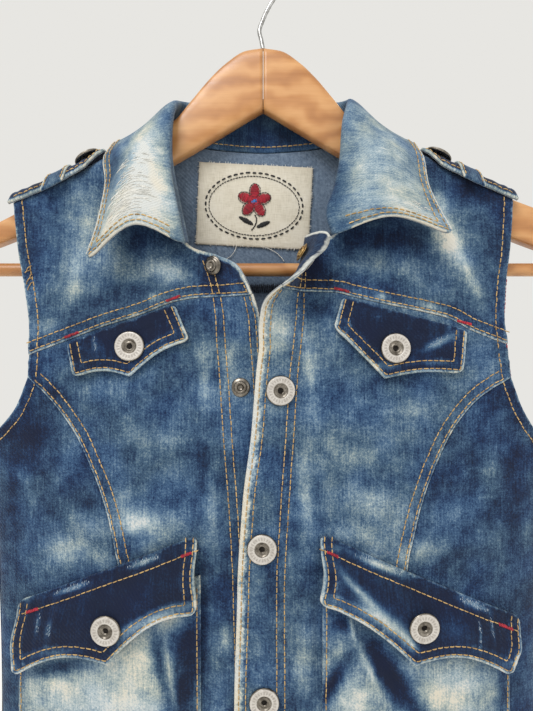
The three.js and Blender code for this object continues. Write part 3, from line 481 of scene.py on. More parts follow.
def steps(length, fine=FINE):
    return max(6, int(round(length / fine)))


def even(length, fine=FINE, start=0.0, end=1.0):
    """Even stops for a grid line of this length."""
    return np.linspace(start, end, steps(length, fine))


def finer(stops, length):
    """Uneven stops with more between them, for a grid line of this length."""
    count = steps(length)
    return np.interp(np.linspace(0, len(stops) - 1, count + 1), np.arange(len(stops)), stops)


def lengths(line):
    """The distance along a line of points up to each of them."""
    return np.concatenate([[0], np.cumsum(np.linalg.norm(np.diff(line, axis=0), axis=1))])


def follow(at, s, points):
    """The points of a line at given distances along it."""
    return np.stack([np.interp(at, s, column) for column in np.transpose(points)], -1)


def spun(p, q, turn, x, z):
    """A point p, q turned about the origin and moved to x, z."""
    c, s = math.cos(turn), math.sin(turn)
    return x + p * c - q * s, z + p * s + q * c


# Cloth pieces


def line_distance(a, z, line):
    """Distance from points to a polyline, and the length along it of the nearest place."""
    a, z = np.asarray(a, float), np.asarray(z, float)
    line = np.asarray(line, float)
    first, run = line[:-1], np.diff(line, axis=0)
    length = np.linalg.norm(run, axis=1)
    used = length > 1e-6
    start = np.concatenate([[0], np.cumsum(length)[:-1]])[used]
    first, run, length = first[used], run[used], length[used]
    best = np.full(a.size, 1e9)
    along = np.zeros(a.size)
    flat_a, flat_z = a.ravel(), z.ravel()
    block = max(1, int(2e6 // len(length)))
    for k in range(0, a.size, block):
        da = flat_a[k : k + block, None] - first[:, 0]
        dz = flat_z[k : k + block, None] - first[:, 1]
        t = np.clip((da * run[:, 0] + dz * run[:, 1]) / length**2, 0, 1)
        d = np.hypot(da - t * run[:, 0], dz - t * run[:, 1])
        nearest = np.argmin(d, axis=1)
        rows_ = np.arange(len(nearest))
        best[k : k + block] = d[rows_, nearest]
        along[k : k + block] = start[nearest] + t[rows_, nearest] * length[nearest]
    return best.reshape(a.shape), along.reshape(a.shape)


def line_length(line):
    return float(np.linalg.norm(np.diff(line, axis=0), axis=1).sum())


def curve_through(x0, z0, x1, z1, x2, z2, count=8):
    """Points on the parabola through three points."""
    t = np.linspace(0, 1, count + 1)[:, None]
    p0, p1, p2 = (np.array(p, float) for p in ((x0, z0), (x1, z1), (x2, z2)))
    return p0 * (1 - t) * (1 - 2 * t) + p1 * 4 * t * (1 - t) + p2 * t * (2 * t - 1)


def creases(a, z, table):
    """Soft troughs and ridges, each a curve that fades at both ends."""
    high = np.zeros(np.shape(a))
    for c in table:
        line = curve_through(c["x0"], c["z0"], c["x1"], c["z1"], c["x2"], c["z2"])
        d, along = line_distance(a, z, line)
        taper = np.sin(np.pi * np.clip(along / line_length(line), 0.02, 0.98)) ** 0.7
        high = high + c["high"] * np.exp(-((d / c["wide"]) ** 2)) * taper
    return 1.3 * high


def pucker(along, pitch=7.3):
    slow = 0.6 + 0.4 * np.sin(2 * np.pi * along / 57 + 1)
    return slow * np.sin(2 * np.pi * along / pitch + 1.7 * np.sin(2 * np.pi * along / 31))


class Edge:
    """A seam or a turned edge of a panel: its line, the width and height of its thick band,
    and how far in its stitched rows lie."""

    def __init__(self, line, band=9.0, high=0.6, rows_at=(), worn=0.7, pull=0.42, dark=0.08, crown=1.3):
        self.line = np.asarray(line, float)
        self.band, self.high, self.rows_at, self.worn = band, high, rows_at, worn
        self.pull, self.dark, self.crown = pull, dark, crown


class Panel:
    """A piece of cloth over a surface, with its height and its wear from named tables."""

    def __init__(self, surface, edges=(), creased=(), fades=(), base=0.3, thick=CLOTH):
        self.surface, self.edges, self.creased = surface, edges, creased
        self.fades, self.base, self.thick = fades, base, thick

    def height(self, a, z):
        high = creases(a, z, self.creased)
        for e in self.edges:
            d, along = line_distance(a, z, e.line)
            high += e.high * (1 - smooth((d - e.band) / 2.5))
            for r in e.rows_at:
                high -= 0.22 * np.exp(-(((d - r) / 0.9) ** 2))
            if e.pull:
                middle = e.band * 0.6
                high += e.pull * pucker(along) * np.exp(-(((d - middle) / (0.7 * e.band)) ** 2))
        return high

    def wear(self, a, z):
        """1 on the crown of a thick edge or seam, 0 away from it."""
        worn = np.zeros(np.shape(a))
        for e in self.edges:
            d, along = line_distance(a, z, e.line)
            crown = np.exp(-((d / e.crown) ** 2)) + 0.25 * np.exp(-(((d - e.band) / 1.5) ** 2))
            middle = np.exp(-(((d - e.band * 0.5) / (0.5 * e.band)) ** 2))
            flecks = 0.3 * middle * (0.5 + 0.5 * pucker(along)) * (0.5 + 0.5 * np.sin(along / 19))
            worn = np.maximum(worn, e.worn * np.clip(crown + flecks, 0, 1))
        return worn

    # Paleness from the wash, with painted shade in it from some dark spots and from the seam bands
    def fade(self, a, z):
        pale = np.full(np.shape(a), float(self.base))
        for f in self.fades:
            c, s = math.cos(math.radians(f["turn"])), math.sin(math.radians(f["turn"]))
            dx, dz = a - f["x"], z - f["z"]
            across, up = (dx * c + dz * s) / f["rx"], (dz * c - dx * s) / f["rz"]
            pale = pale + f["pale"] * np.exp(-(across**2 + up**2))
        # A positive dark value darkens an edge's band, partly as unfaded indigo of the thick seam and partly
        # as painted shade in the groove beside its crown; a negative one makes the band paler, as wear
        for e in self.edges:
            d, along = line_distance(a, z, e.line)
            band = 1 - smooth((d - e.band) / 2.5)
            pale = pale - e.dark * band * (0.7 + 0.5 * np.sin(along / 23 + 1))
        return np.clip(pale, -0.3, 1.1)

    def at(self, a, z, lift=0.0):
        """Points of the outside, and the outward directions there."""
        n = self.surface.normal(a, z)
        p = self.surface.point(a, z) + n * (self.height(a, z) + lift)[..., None]
        return p, n


def grid_mesh(name, outer, inner, attributes, mark, material, slot):
    """A closed wall of two grids of points, with a rounded rim between them.

    The inner grid is marked 1 where it shows the cloth's reverse and 2 where it is faced."""
    nv, nu = outer.shape[0] - 1, outer.shape[1] - 1
    count = (nu + 1) * (nv + 1)
    rim = [(0, i) for i in range(nu)] + [(j, nu) for j in range(nv)]
    rim += [(nv, i) for i in range(nu, 0, -1)] + [(j, 0) for j in range(nv, 0, -1)]
    rim_at = np.array([j * (nu + 1) + i for j, i in rim])
    flat_out, flat_in = outer.reshape(-1, 3), inner.reshape(-1, 3)
    middle = (flat_out[rim_at] + flat_in[rim_at]) / 2
    inward = []
    for j, i in rim:
        jj = 1 if j == 0 else nv - 1 if j == nv else j
        ii = 1 if i == 0 else nu - 1 if i == nu else i
        inward.append(jj * (nu + 1) + ii)
    away = unit(flat_out[rim_at] - flat_out[np.array(inward)])
    thick = np.linalg.norm(flat_out[rim_at] - flat_in[rim_at], axis=1, keepdims=True)
    middle = middle + away * np.minimum(thick * 0.22, 0.3)
    verts = np.concatenate([flat_out, flat_in, middle])
    i, j = np.meshgrid(np.arange(nu), np.arange(nv))
    corner = (j * (nu + 1) + i).ravel()
    quads = np.stack([corner, corner + nu + 1, corner + nu + 2, corner + 1], -1)
    faces = [quads, quads[:, ::-1] + count]
    ring = len(rim_at)
    k = np.arange(ring)
    k1 = (k + 1) % ring
    m = 2 * count
    faces.append(np.stack([rim_at[k], rim_at[k1], m + k1, m + k], -1))
    faces.append(np.stack([m + k, m + k1, count + rim_at[k1], count + rim_at[k]], -1))
    mesh = new_mesh(name, (verts * MM).tolist(), np.concatenate(faces).tolist())
    face_outward(mesh)
    for key, values in attributes.items():
        grid = values.reshape(count, -1)
        within = np.clip(2.2 * grid - 1.25, 0, 1) if key == "wear" else grid
        both = np.concatenate([grid, within, grid[rim_at]])
        if key == "wear":
            both[2 * count :] = np.maximum(both[2 * count :] * 1.1, 0.4)
        write_attribute(mesh, key, both)
    inside = np.concatenate([np.zeros(count), mark.ravel(), np.zeros(ring)])
    write_attribute(mesh, "inside", inside[:, None])
    return place(name, mesh, material, slot)


def new_mesh(name, verts, faces, flat_ends=False):
    """A smooth mesh, in metres, whose end caps may stay flat."""
    mesh = bpy.data.meshes.new(name)
    mesh.from_pydata(verts, [], faces)
    smooth_faces = [not flat_ends or len(p.vertices) == 4 for p in mesh.polygons]
    mesh.polygons.foreach_set("use_smooth", smooth_faces)
    return mesh


def face_outward(mesh):
    bm = bmesh.new()
    bm.from_mesh(mesh)
    bmesh.ops.recalc_face_normals(bm, faces=bm.faces)
    bm.to_mesh(mesh)
    bm.free()


def ring_faces(count, sides):
    """The faces between each ring of points and the next."""
    faces = []
    for k in range(count - 1):
        for i in range(sides):
            j = (i + 1) % sides
            faces.append((k * sides + i, k * sides + j, (k + 1) * sides + j, (k + 1) * sides + i))
    return faces


def write_attribute(mesh, name, values):
    kind = "FLOAT_VECTOR" if values.shape[1] == 3 else "FLOAT"
    attribute = mesh.attributes.new(name, kind, "POINT")
    field = "vector" if kind == "FLOAT_VECTOR" else "value"
    attribute.data.foreach_set(field, values.astype(np.float32).ravel())


def add(name, data):
    obj = bpy.data.objects.new(name, data)
    bpy.context.scene.collection.objects.link(obj)
    return obj


def place(name, mesh, material, slot):
    obj = add(name, mesh)
    mesh.materials.append(material)
    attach(obj, "root")
    return obj


def make_panel(node, stops_u, stops_v, place_at, cloth="denim", slot="denim"):
    """Lays a panel's grid on its surface and puts it in place of its node."""
    panel = PANELS[node]
    u, v = np.meshgrid(stops_u, stops_v)
    a, z = place_at(u, v)
    n = panel.surface.normal(a, z)
    base = panel.surface.point(a, z)
    high = panel.height(a, z)
    outer = base + n * high[..., None]
    inner = base + n * (np.minimum(high, 0.6 * high) - panel.thick)[..., None]
    look = {
        "fade": panel.fade(a, z),
        "wear": panel.wear(a, z),
        "weave": np.stack([a, z, np.zeros(a.shape)], -1),
    }
    mark = np.full(a.shape, 2.0 if panel.thick > 1.5 else 1.0)
    if isinstance(panel.surface, Front):
        mark = np.where(panel.surface.reach(a, z) > -0.5, 2.0, 1.0)
    obj = grid_mesh("cloth_" + node, outer, inner, look, mark, MATERIALS[cloth], slot)
    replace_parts(obj, node)


# Stitches

STITCH = 3.8
STITCH_RADIUS = 0.38
STITCH_GAP = 0.25
STITCH_SIDES = 5
AHEAD = 0.3
STITCH_RINGS = rows(
    "t wide lift",
    (0.0, 0.3, -0.35),
    (0.16, 0.95, 0.12),
    (0.5, 1.0, 0.28),
    (0.84, 0.95, 0.12),
    (1.0, 0.3, -0.35),
)


class Thread:
    """Gathers stitches of one colour into one mesh."""

    def __init__(self):
        self.verts, self.faces, self.ends, self.tone = [], [], [], []
        self.count = 0

    def row(self, points, normals, pitch=STITCH, radius=STITCH_RADIUS, gap=STITCH_GAP):
        """Stitches along a path of points on the cloth."""
        s = lengths(points)
        number = max(1, int(round(s[-1] / pitch)))
        edges = np.linspace(0, s[-1], number + 1)
        edges[1:-1] += RNG.normal(0, 0.12, number - 1)
        starts, ends = edges[:-1] + gap / 2, edges[1:] - gap / 2
        side_shift = RNG.normal(0, 0.08, number)[:, None]
        tones = RNG.random(number)
        angle = np.linspace(0, 2 * np.pi, STITCH_SIDES, endpoint=False)
        c, sn = np.cos(angle)[None, :, None], np.sin(angle)[None, :, None]
        rings = []
        for r in STITCH_RINGS:
            at = starts + (ends - starts) * r["t"]
            n = unit(follow(at, s, normals))
            d = unit(follow(at + AHEAD, s, points) - follow(at - AHEAD, s, points))
            b = unit(np.cross(n, d))
            centre = follow(at, s, points) + n * r["lift"] + b * side_shift
            rings.append(centre[:, None] + radius * r["wide"] * (c * b[:, None] + sn * n[:, None]))
        count = len(STITCH_RINGS)
        first = np.arange(number)[:, None] * STITCH_SIDES * count + self.count
        around = np.arange(STITCH_SIDES)
        faces = np.array(ring_faces(count, STITCH_SIDES))
        self.faces += (first[:, None] + faces[None]).reshape(-1, 4).tolist()
        self.ends += (first + around[None, ::-1]).tolist()
        self.ends += (first + (count - 1) * STITCH_SIDES + around[None]).tolist()
        self.verts.append(np.stack(rings, 1).reshape(-1, 3))
        self.tone.append(np.repeat(tones, STITCH_SIDES * count))
        self.count += number * STITCH_SIDES * count

    def build(self, name, colour, slot="denim"):
        verts = np.concatenate(self.verts) * MM
        mesh = new_mesh(name, verts.tolist(), self.faces + self.ends)
        write_attribute(mesh, "tone", np.concatenate(self.tone)[:, None])
        place(name, mesh, MATERIALS[colour], slot)


def sew(thread, panel, path, pitch=STITCH, lift=0.12, **how):
    """Sews a row along a path of the panel's own coordinates."""
    path = np.asarray(path, float)
    s = lengths(path)
    at = np.linspace(0, s[-1], max(8, int(s[-1] / 1.2)))
    a, z = follow(at, s, path).T
    p, n = panel.at(a, z, lift)
    thread.row(p, n, pitch, **how)


# Materials


class Shade:
    """A small helper that builds a material's nodes from numbers and sockets."""

    def __init__(self, name):
        self.material = bpy.data.materials.new(name)
        self.material.use_nodes = True
        self.tree = self.material.node_tree
        self.tree.nodes.clear()
        self.shader = self.tree.nodes.new("ShaderNodeBsdfPrincipled")
        out = self.tree.nodes.new("ShaderNodeOutputMaterial")
        self.tree.links.new(self.shader.outputs[0], out.inputs[0])

    def put(self, socket, value):
        if isinstance(value, bpy.types.NodeSocket):
            self.tree.links.new(value, socket)
        elif isinstance(value, (tuple, list)) and len(value) == 3 and socket.type == "RGBA":
            socket.default_value = (*value, 1)
        else:
            socket.default_value = value

    def node(self, kind, inputs=(), **settings):
        n = self.tree.nodes.new(kind)
        for key, value in settings.items():
            setattr(n, key, value)
        for key, value in dict(inputs).items():
            self.put(n.inputs[key], value)
        return n

    def attribute(self, name, output="Fac"):
        return self.node("ShaderNodeAttribute", attribute_name=name).outputs[output]

    def spot(self):
        return self.node("ShaderNodeTexCoord").outputs["Object"]

    def bands(self, vector, scale, distortion, detail, detail_scale, direction):
        inputs = {
            "Vector": vector,
            "Scale": scale,
            "Distortion": distortion,
            "Detail": detail,
            "Detail Scale": detail_scale,
        }
        n = self.node("ShaderNodeTexWave", inputs, wave_type="BANDS", bands_direction=direction)
        return n.outputs["Fac"]

    def math(self, operation, *values, clamp=False):
        n = self.node("ShaderNodeMath", operation=operation, use_clamp=clamp)
        for k, value in enumerate(values):
            self.put(n.inputs[k], value)
        return n.outputs[0]

    def add(self, *values):
        total = values[0]
        for value in values[1:]:
            total = self.math("ADD", total, value)
        return total

    def times(self, a, b):
        return self.math("MULTIPLY", a, b)

    def spread(self, value, low, high, to_low=0.0, to_high=1.0):
        inputs = {"Value": value, "From Min": low, "From Max": high, "To Min": to_low, "To Max": to_high}
        return self.node("ShaderNodeMapRange", inputs).outputs[0]

    def noise(self, vector, scale, detail=2.0, rough=0.5, stretch=(1, 1, 1), shift=0.0):
        inputs = {"Vector": vector, "Scale": stretch, "Location": (shift, shift, shift)}
        mapped = self.node("ShaderNodeMapping", inputs).outputs[0]
        inputs = {"Vector": mapped, "Scale": scale, "Detail": detail, "Roughness": rough}
        return self.node("ShaderNodeTexNoise", inputs).outputs["Fac"]

    def centred(self, value, by):
        return self.times(self.math("SUBTRACT", value, 0.5), by)

    def ramp(self, value, *stops):
        n = self.node("ShaderNodeValToRGB", {"Fac": value})
        while len(n.color_ramp.elements) < len(stops):
            n.color_ramp.elements.new(0.5)
        for element, (at, colour) in zip(n.color_ramp.elements, stops):
            element.position = at
            element.color = (*colour, 1)
        return n.outputs[0]

    def mix(self, share, a, b, blend="MIX"):
        n = self.node("ShaderNodeMix", data_type="RGBA", blend_type=blend)
        self.put(n.inputs[0], share)
        self.put(n.inputs[6], a)
        self.put(n.inputs[7], b)
        return n.outputs[2]

    def bump(self, height, strength, distance):
        inputs = {"Height": height, "Strength": strength, "Distance": distance}
        return self.node("ShaderNodeBump", inputs).outputs[0]

    def finish(self, **sockets):
        for key, value in sockets.items():
            self.put(self.shader.inputs[key.replace("_", " ")], value)
        return self.material


INDIGO = (
    (0.0, (0.007, 0.012, 0.034)),
    (0.2, (0.012, 0.032, 0.085)),
    (0.42, (0.048, 0.1, 0.18)),
    (0.6, (0.14, 0.21, 0.28)),
    (0.78, (0.31, 0.38, 0.4)),
    (0.92, (0.47, 0.51, 0.5)),
    (1.0, (0.62, 0.6, 0.54)),
)


def denim(name, contrast=1.0, grain=0.42):
    """Washed twill: indigo that fades by the cloth's own fade value, which also holds painted shade, with
    slubs and pale wear.
    """
    s = Shade(name)
    at = s.attribute("weave", "Vector")
    fade, wear, inside = s.attribute("fade"), s.attribute("wear"), s.attribute("inside")
    clouds = s.centred(s.noise(at, 0.021, 3, 0.55), 0.5 * contrast)
    patches = s.centred(s.noise(at, 0.075, 5, 0.7, shift=40), 0.85 * contrast)
    warp = s.centred(s.noise(at, 1.0, 2, 0.6, (0.85, 0.05, 1)), 0.42)
    weft = s.centred(s.noise(at, 1.0, 2, 0.6, (0.06, 0.9, 1), 9), 0.12)
    speckle = s.centred(s.noise(at, 0.9, 3, 0.85, shift=3), grain * 2.2)
    level = s.add(fade, clouds, patches, warp, weft, speckle)
    rubbed = s.add(
        s.times(s.noise(at, 0.4, 3, 0.7, shift=17), 0.6),
        s.times(s.noise(at, 0.09, 2, 0.5, shift=21), 0.4),
    )
    patchy = s.spread(rubbed, 0.32, 0.66, -0.95, 0.0)
    worn = s.math("ADD", s.times(wear, 1.55), patchy, clamp=True)
    level = s.math("ADD", level, s.times(worn, 0.75), clamp=True)
    cast = s.spread(s.noise(at, 0.03, 2, 0.5, shift=70), 0.4, 0.62)
    hue = s.mix(cast, (1.04, 1.0, 0.92), (0.94, 1.0, 1.08))
    face = s.mix(1.0, s.ramp(level, *INDIGO), hue, "MULTIPLY")
    reverse = s.ramp(
        s.add(0.45, s.centred(s.noise(at, 0.5, 4, 0.7, shift=5), 0.9), s.centred(warp, 0.5)),
        (0.0, (0.075, 0.11, 0.17)),
        (0.5, (0.22, 0.29, 0.38)),
        (1.0, (0.5, 0.56, 0.62)),
    )
    faced = s.ramp(
        s.noise(at, 0.6, 4, 0.7, shift=8),
        (0.3, (0.007, 0.014, 0.038)),
        (0.8, (0.035, 0.068, 0.13)),
    )
    faced = s.mix(worn, faced, (0.62, 0.63, 0.58))
    colour = s.mix(s.math("MULTIPLY", inside, 1.0, clamp=True), face, reverse)
    colour = s.mix(s.math("SUBTRACT", inside, 1.0, clamp=True), colour, faced)
    twill = s.bands(at, 0.22, 0.6, 1.0, 2.0, "DIAGONAL")
    relief = s.add(s.times(twill, 0.6), s.noise(at, 0.9, 3, 0.6, (1, 0.35, 1)))
    return s.finish(
        Base_Color=colour,
        Roughness=0.9,
        Normal=s.bump(relief, 0.6, 0.0004),
        Sheen_Weight=0.12,
        Sheen_Roughness=0.45,
        Specular_IOR_Level=0.2,
    )


def thread_material(name, dark, pale):
    s = Shade(name)
    dirt = s.centred(s.noise(s.spot(), 160, 2, 0.6), 1.4)
    tone = s.add(s.times(s.attribute("tone"), 0.5), dirt, 0.25)
    colour = s.mix(s.math("MULTIPLY", tone, 1.0, clamp=True), dark, pale)
    return s.finish(Base_Color=colour, Roughness=0.7, Sheen_Weight=0.1)


def metal(name, colour, dark, roughness):
    s = Shade(name)
    where = s.spot()
    shade = s.mix(s.spread(s.noise(where, 300, 4, 0.65), 0.35, 0.75), colour, dark)
    fine = s.noise(where, 690, 3, 0.6)
    rough = s.spread(fine, 0.3, 0.7, roughness * 0.7, roughness * 1.4)
    normal = s.bump(s.noise(where, 1200, 2, 0.5), 0.15, 0.0001)
    return s.finish(Base_Color=shade, Roughness=rough, Metallic=1.0, Normal=normal)


def enamel_material():
    s = Shade("snap_enamel")
    stain = s.spread(s.noise(s.spot(), 350, 4, 0.65), 0.45, 0.8)
    face = s.mix(stain, (0.6, 0.565, 0.52), (0.36, 0.32, 0.28))
    tick = s.attribute("tick")
    colour = s.mix(s.times(tick, 0.55), face, (0.28, 0.25, 0.22))
    normal = s.bump(s.math("SUBTRACT", 1.0, tick), 0.4, 0.0002)
    return s.finish(Base_Color=colour, Roughness=0.38, Metallic=0.25, Normal=normal, Coat_Weight=0.2)


def wood_material():
    s = Shade("hanger_wood")
    where = s.spot()
    grain = s.noise(where, 60, 4, 0.6, (0.12, 1, 1))
    fine = s.noise(where, 420, 3, 0.6, (0.05, 1, 1), 7)
    rings = s.bands(where, 18.0, 9.0, 3.0, 1.2, "Z")
    level = s.add(s.times(grain, 0.5), s.times(rings, 0.3), s.times(fine, 0.25))
    colour = s.ramp(
        level,
        (0.2, (0.33, 0.125, 0.035)),
        (0.5, (0.5, 0.225, 0.072)),
        (0.8, (0.66, 0.35, 0.14)),
    )
    return s.finish(
        Base_Color=colour,
        Roughness=s.spread(fine, 0.3, 0.7, 0.32, 0.48),
        Normal=s.bump(level, 0.12, 0.0003),
        Coat_Weight=0.35,
        Coat_Roughness=0.25,
    )


def canvas_material():
    s = Shade("patch_canvas")
    at = s.attribute("weave", "Vector")
    warp = s.noise(at, 1.0, 2, 0.6, (1.6, 0.15, 1))
    weft = s.noise(at, 1.0, 2, 0.6, (0.15, 1.6, 1), 5)
    stain = s.noise(at, 0.05, 4, 0.6, shift=12)
    worn = s.attribute("wear")
    level = s.add(s.times(warp, 0.3), s.times(weft, 0.3), s.times(stain, 0.4))
    face = s.ramp(
        level,
        (0.3, (0.48, 0.43, 0.33)),
        (0.5, (0.68, 0.63, 0.52)),
        (0.72, (0.8, 0.76, 0.67)),
    )
    colour = s.mix(s.times(worn, 0.6), face, (0.42, 0.37, 0.28))
    normal = s.bump(s.add(warp, weft), 0.5, 0.0003)
    return s.finish(Base_Color=colour, Roughness=0.95, Normal=normal, Sheen_Weight=0.15)


class Laid:
    """A surface that stands off the front by a height given in x and z."""

    def __init__(self, high, side=1, turned=1):
        self.high, self.side, self.turned = high, side, turned

    def normal(self, a, z):
        return self.turned * body_normal(self.side, body_point(self.side, a, z))

    def point(self, a, z):
        p = body_point(self.side, a, z)
        high = self.high(np.asarray(a, float), np.asarray(z, float))
        return p + body_normal(self.side, p) * high[..., None]


class Woven:
    """A surface held as a grid of points over the cloth's own a and b, in millimetres."""

    def __init__(self, points, a, b):
        self.points, self.a, self.b = points, np.asarray(a), np.asarray(b)
        da = np.gradient(points, self.a, axis=1)
        db = np.gradient(points, self.b, axis=0)
        self.normals = unit(np.cross(da, db))

    def look_up(self, grid, a, b):
        a, b = np.broadcast_arrays(np.asarray(a, float), np.asarray(b, float))
        fa = np.interp(a, self.a, np.arange(len(self.a)))
        fb = np.interp(b, self.b, np.arange(len(self.b)))
        i = np.clip(fa.astype(int), 0, len(self.a) - 2)
        j = np.clip(fb.astype(int), 0, len(self.b) - 2)
        s, t = (fa - i)[..., None], (fb - j)[..., None]
        low = grid[j, i] * (1 - s) + grid[j, i + 1] * s
        high = grid[j + 1, i] * (1 - s) + grid[j + 1, i + 1] * s
        return low * (1 - t) + high * t

    def point(self, a, b):
        return self.look_up(self.points, a, b)

    def normal(self, a, b):
        return unit(self.look_up(self.normals, a, b))


def samples(at, count=60):
    """A seam given as a function of its share, as a polyline."""
    shares = np.linspace(0, 1, count + 1)
    return np.stack([np.broadcast_to(c, shares.shape) for c in at(shares)], -1)


def by_z(x_at, top, bottom, count=60):
    """The line that x_at gives from one height to another, as a polyline."""
    z = np.linspace(top, bottom, count + 1)
    return np.stack([x_at(z), z], -1)


def straight(a, b):
    """The straight edge between two points, as a function of its share."""
    return lambda t: (a[0] + (b[0] - a[0]) * t, a[1] + (b[1] - a[1]) * t)


def falling(x_at, top, bottom):
    """The edge that x_at gives from one height to another, as a function of its share."""

    def at(t):
        z = top + (bottom - top) * t
        return x_at(z), z

    return at


def level_edge(x0, x1, z):
    return straight((float(x0), float(z)), (float(x1), float(z)))


# Collar sections: the neck seam, the top of the stand, the top of the leaf, its middle and its edge
COLLAR = rows(
    "u neck rise turn mid edge",
    (-1, (-50, -15, -213), (-50, -29, -217), (-52.5, -35, -217), (-79, -39, -207.5), (-110.5, -36, -231)),
    (-0.85, (-55, -13.2, -190), (-55.5, -27, -192), (-58.5, -33, -191),
     (-81, -34, -187), (-104.5, -29, -205)),
    (-0.7, (-60, -11.4, -166), (-60, -22, -165), (-63.5, -28, -164), (-82, -28, -163), (-101.5, -22, -178)),
    (-0.56, (-63.2, -10, -144), (-60.5, -16, -137), (-65, -21, -137),
     (-81, -18, -144), (-104.5, -15.5, -159)),
    (-0.49, (-64.7, -8.2, -131.4), (-59.5, -9.5, -122.5), (-64.3, -13.5, -124),
     (-81, -10, -136), (-103.6, -7, -149.5)),
    (-0.42, (-64.9, 0, -124.8), (-58.5, 0, -114.5), (-63.5, 0, -115.5), (-81, 1, -130.5), (-103, 1, -143.6)),
    (-0.36, (-63.2, 8.9, -130.4), (-56, 8.6, -110.5), (-60.5, 12.6, -112),
     (-75, 14, -126), (-94, 14.5, -148)),
    (-0.3, (-53, 10.8, -136.8), (-50.5, 12.5, -109), (-55, 18.8, -111), (-66, 19, -127), (-80, 17.5, -154)),
    (-0.15, (-28, 11.4, -142.2), (-26.5, 12.8, -107), (-28, 19, -109), (-32, 19, -128), (-40, 17.5, -160)),
    (0, (0, 11.6, -144), (0, 12.8, -106.5), (0, 19, -108.5), (0, 19, -128), (0, 17.5, -161.5)),
    (0.15, (28, 11.4, -142.2), (26.5, 12.8, -107), (28, 19, -109), (32, 19, -128), (40, 17.5, -160)),
    (0.3, (53, 10.8, -136.8), (50.5, 12.5, -109), (55, 18.8, -111), (66, 19, -127), (80, 17.5, -154)),
    (0.36, (63.2, 8.9, -130.4), (56, 8.6, -110.3), (60.5, 12.6, -111.8), (75, 14, -126), (94.5, 14.5, -148)),
    (0.42, (64.9, 0, -124.8), (58.5, 0, -113.5), (63.5, 0, -114.5), (81, 1, -130), (104, 1, -143.6)),
    (0.49, (64.7, -8.2, -131.4), (56.5, -9.5, -122), (61.3, -13.5, -123.5),
     (80.4, -10, -135.5), (104.4, -7, -149.5)),
    (0.56, (63.2, -10, -144), (53, -16, -136), (58, -21, -136), (79, -18, -142), (105.5, -15.5, -159)),
    (0.7, (59, -11.4, -164), (50.5, -22, -162), (55, -28, -161), (78, -28, -161), (106, -22, -176)),
    (0.82, (53.6, -12.6, -182), (46, -26, -182), (50.5, -31.5, -181), (78, -33, -180), (109.5, -28, -191)),
    (0.92, (48.4, -14, -197), (41, -28.5, -199), (45, -34, -198), (77, -37, -194.5), (115, -33, -205)),
    (1, (45, -15, -207.6), (44.5, -29, -211.5), (48, -35, -211.5), (79, -39, -202.5), (119, -36, -214)),
)
FOLD_ROLL = 2.4
COLLAR_LONG = 250  # half of the collar's own length along its fold, for its weave
COLLAR_WIDE = 92


def catmull(points, t):
    """The centripetal curve through six points, at shares t."""
    first = [2 * points[0] - points[1]]
    last = [2 * points[-1] - points[-2]]
    p = np.array(first + list(points) + last)
    spans = len(points) - 1
    out = []
    for share in t:
        k = min(int(share * spans), spans - 1)
        s = share * spans - k
        p0, p1, p2, p3 = p[k : k + 4]
        pairs = ((p0, p1), (p1, p2), (p2, p3))
        d0, d1, d2 = (max(np.sum((b - a) ** 2) ** 0.25, 1e-4) for a, b in pairs)
        m1 = ((p1 - p0) / d0 - (p2 - p0) / (d0 + d1) + (p2 - p1) / d1) * d1
        m2 = ((p2 - p1) / d1 - (p3 - p1) / (d1 + d2) + (p3 - p2) / d2) * d1
        curved = 3 * (p2 - p1) - 2 * m1 - m2
        out.append(p1 + m1 * s + curved * s**2 + (2 * (p1 - p2) + m1 + m2) * s**3)
    return np.array(out)


def collar_surface():
    """The collar's outside over a, along its length, and b, the distance in from its outer edge."""
    us = np.linspace(-1, 1, 241)
    ts = np.linspace(0, 1, 121)
    columns = [
        [track([{"u": r["u"], "value": r[key][k]} for r in COLLAR], "u", "value") for k in range(3)]
        for key in ("neck", "rise", "turn", "mid", "edge")
    ]
    grid = np.zeros((len(ts), len(us), 3))
    for i, u in enumerate(us):
        neck, rise, turn, mid, edge = (np.array([float(at(u)) for at in column]) for column in columns)
        up = unit(unit(rise - neck) + unit(turn - edge))
        crown = (rise + turn) / 2 + up * FOLD_ROLL
        section = catmull([neck, rise, crown, turn, mid, edge], ts)
        s = lengths(section)
        grid[:, i] = follow(np.linspace(0, s[-1], len(ts)), s, section)
    a = us * COLLAR_LONG
    b = np.linspace(0, COLLAR_WIDE, len(ts))
    middle = Woven(grid, a, b)
    return Woven(grid + middle.normals * DOUBLE / 2, a, b)


FLAPS = rows(
    "name top_in top_out low_in tip low_out scoop_in scoop_out lift",
    ("chest_right", (-57.5, -255.2), (-126.5, -280.4),
     (-46.2, -278.8), (-85, -301.5), (-121.4, -302.3), 4.5, 4, 1.6),
    ("chest_left", (52, -250.6), (132, -271.8),
     (45.2, -270.9), (78, -302.7), (128.4, -299.6), 0.8, 2.6, 1.4),
    ("waist_right", (-41.5, -402.4), (-161.5, -450.5),
     (-40.6, -448), (-96.4, -481), (-158, -494.5), 9, 9, 10.4),
    ("waist_left", (36.4, -401.3), (170, -461.5),
     (33.5, -441), (94, -481), (156, -492.5), 6, 9, 10.6),
)
POCKETS = rows(
    "name inner outer top_in top_out low",
    ("pocket_right", -40, -162, -428, -466, -588),
    ("pocket_left", 38, 163, -428, -468, -588),
)
POCKET_RISE = 3
POCKET_WALL = 1.4
POCKET_PUFF = 3.2
PLEATS = rows(
    "x0 z0 x1 z1 wide high",
    (0.06, 0.1, 0.42, 0.75, 0.07, 2.4),
    (0.1, 0.12, 0.12, 0.85, 0.06, 2),
    (0.95, 0.14, 0.62, 0.8, 0.08, 2.2),
)
STRAP_OUT = 169
STRAP_IN = 108.5
STRAP_HALF = 13.5
STRAP_GAP = 0.9
STRAP_ARCH = 9
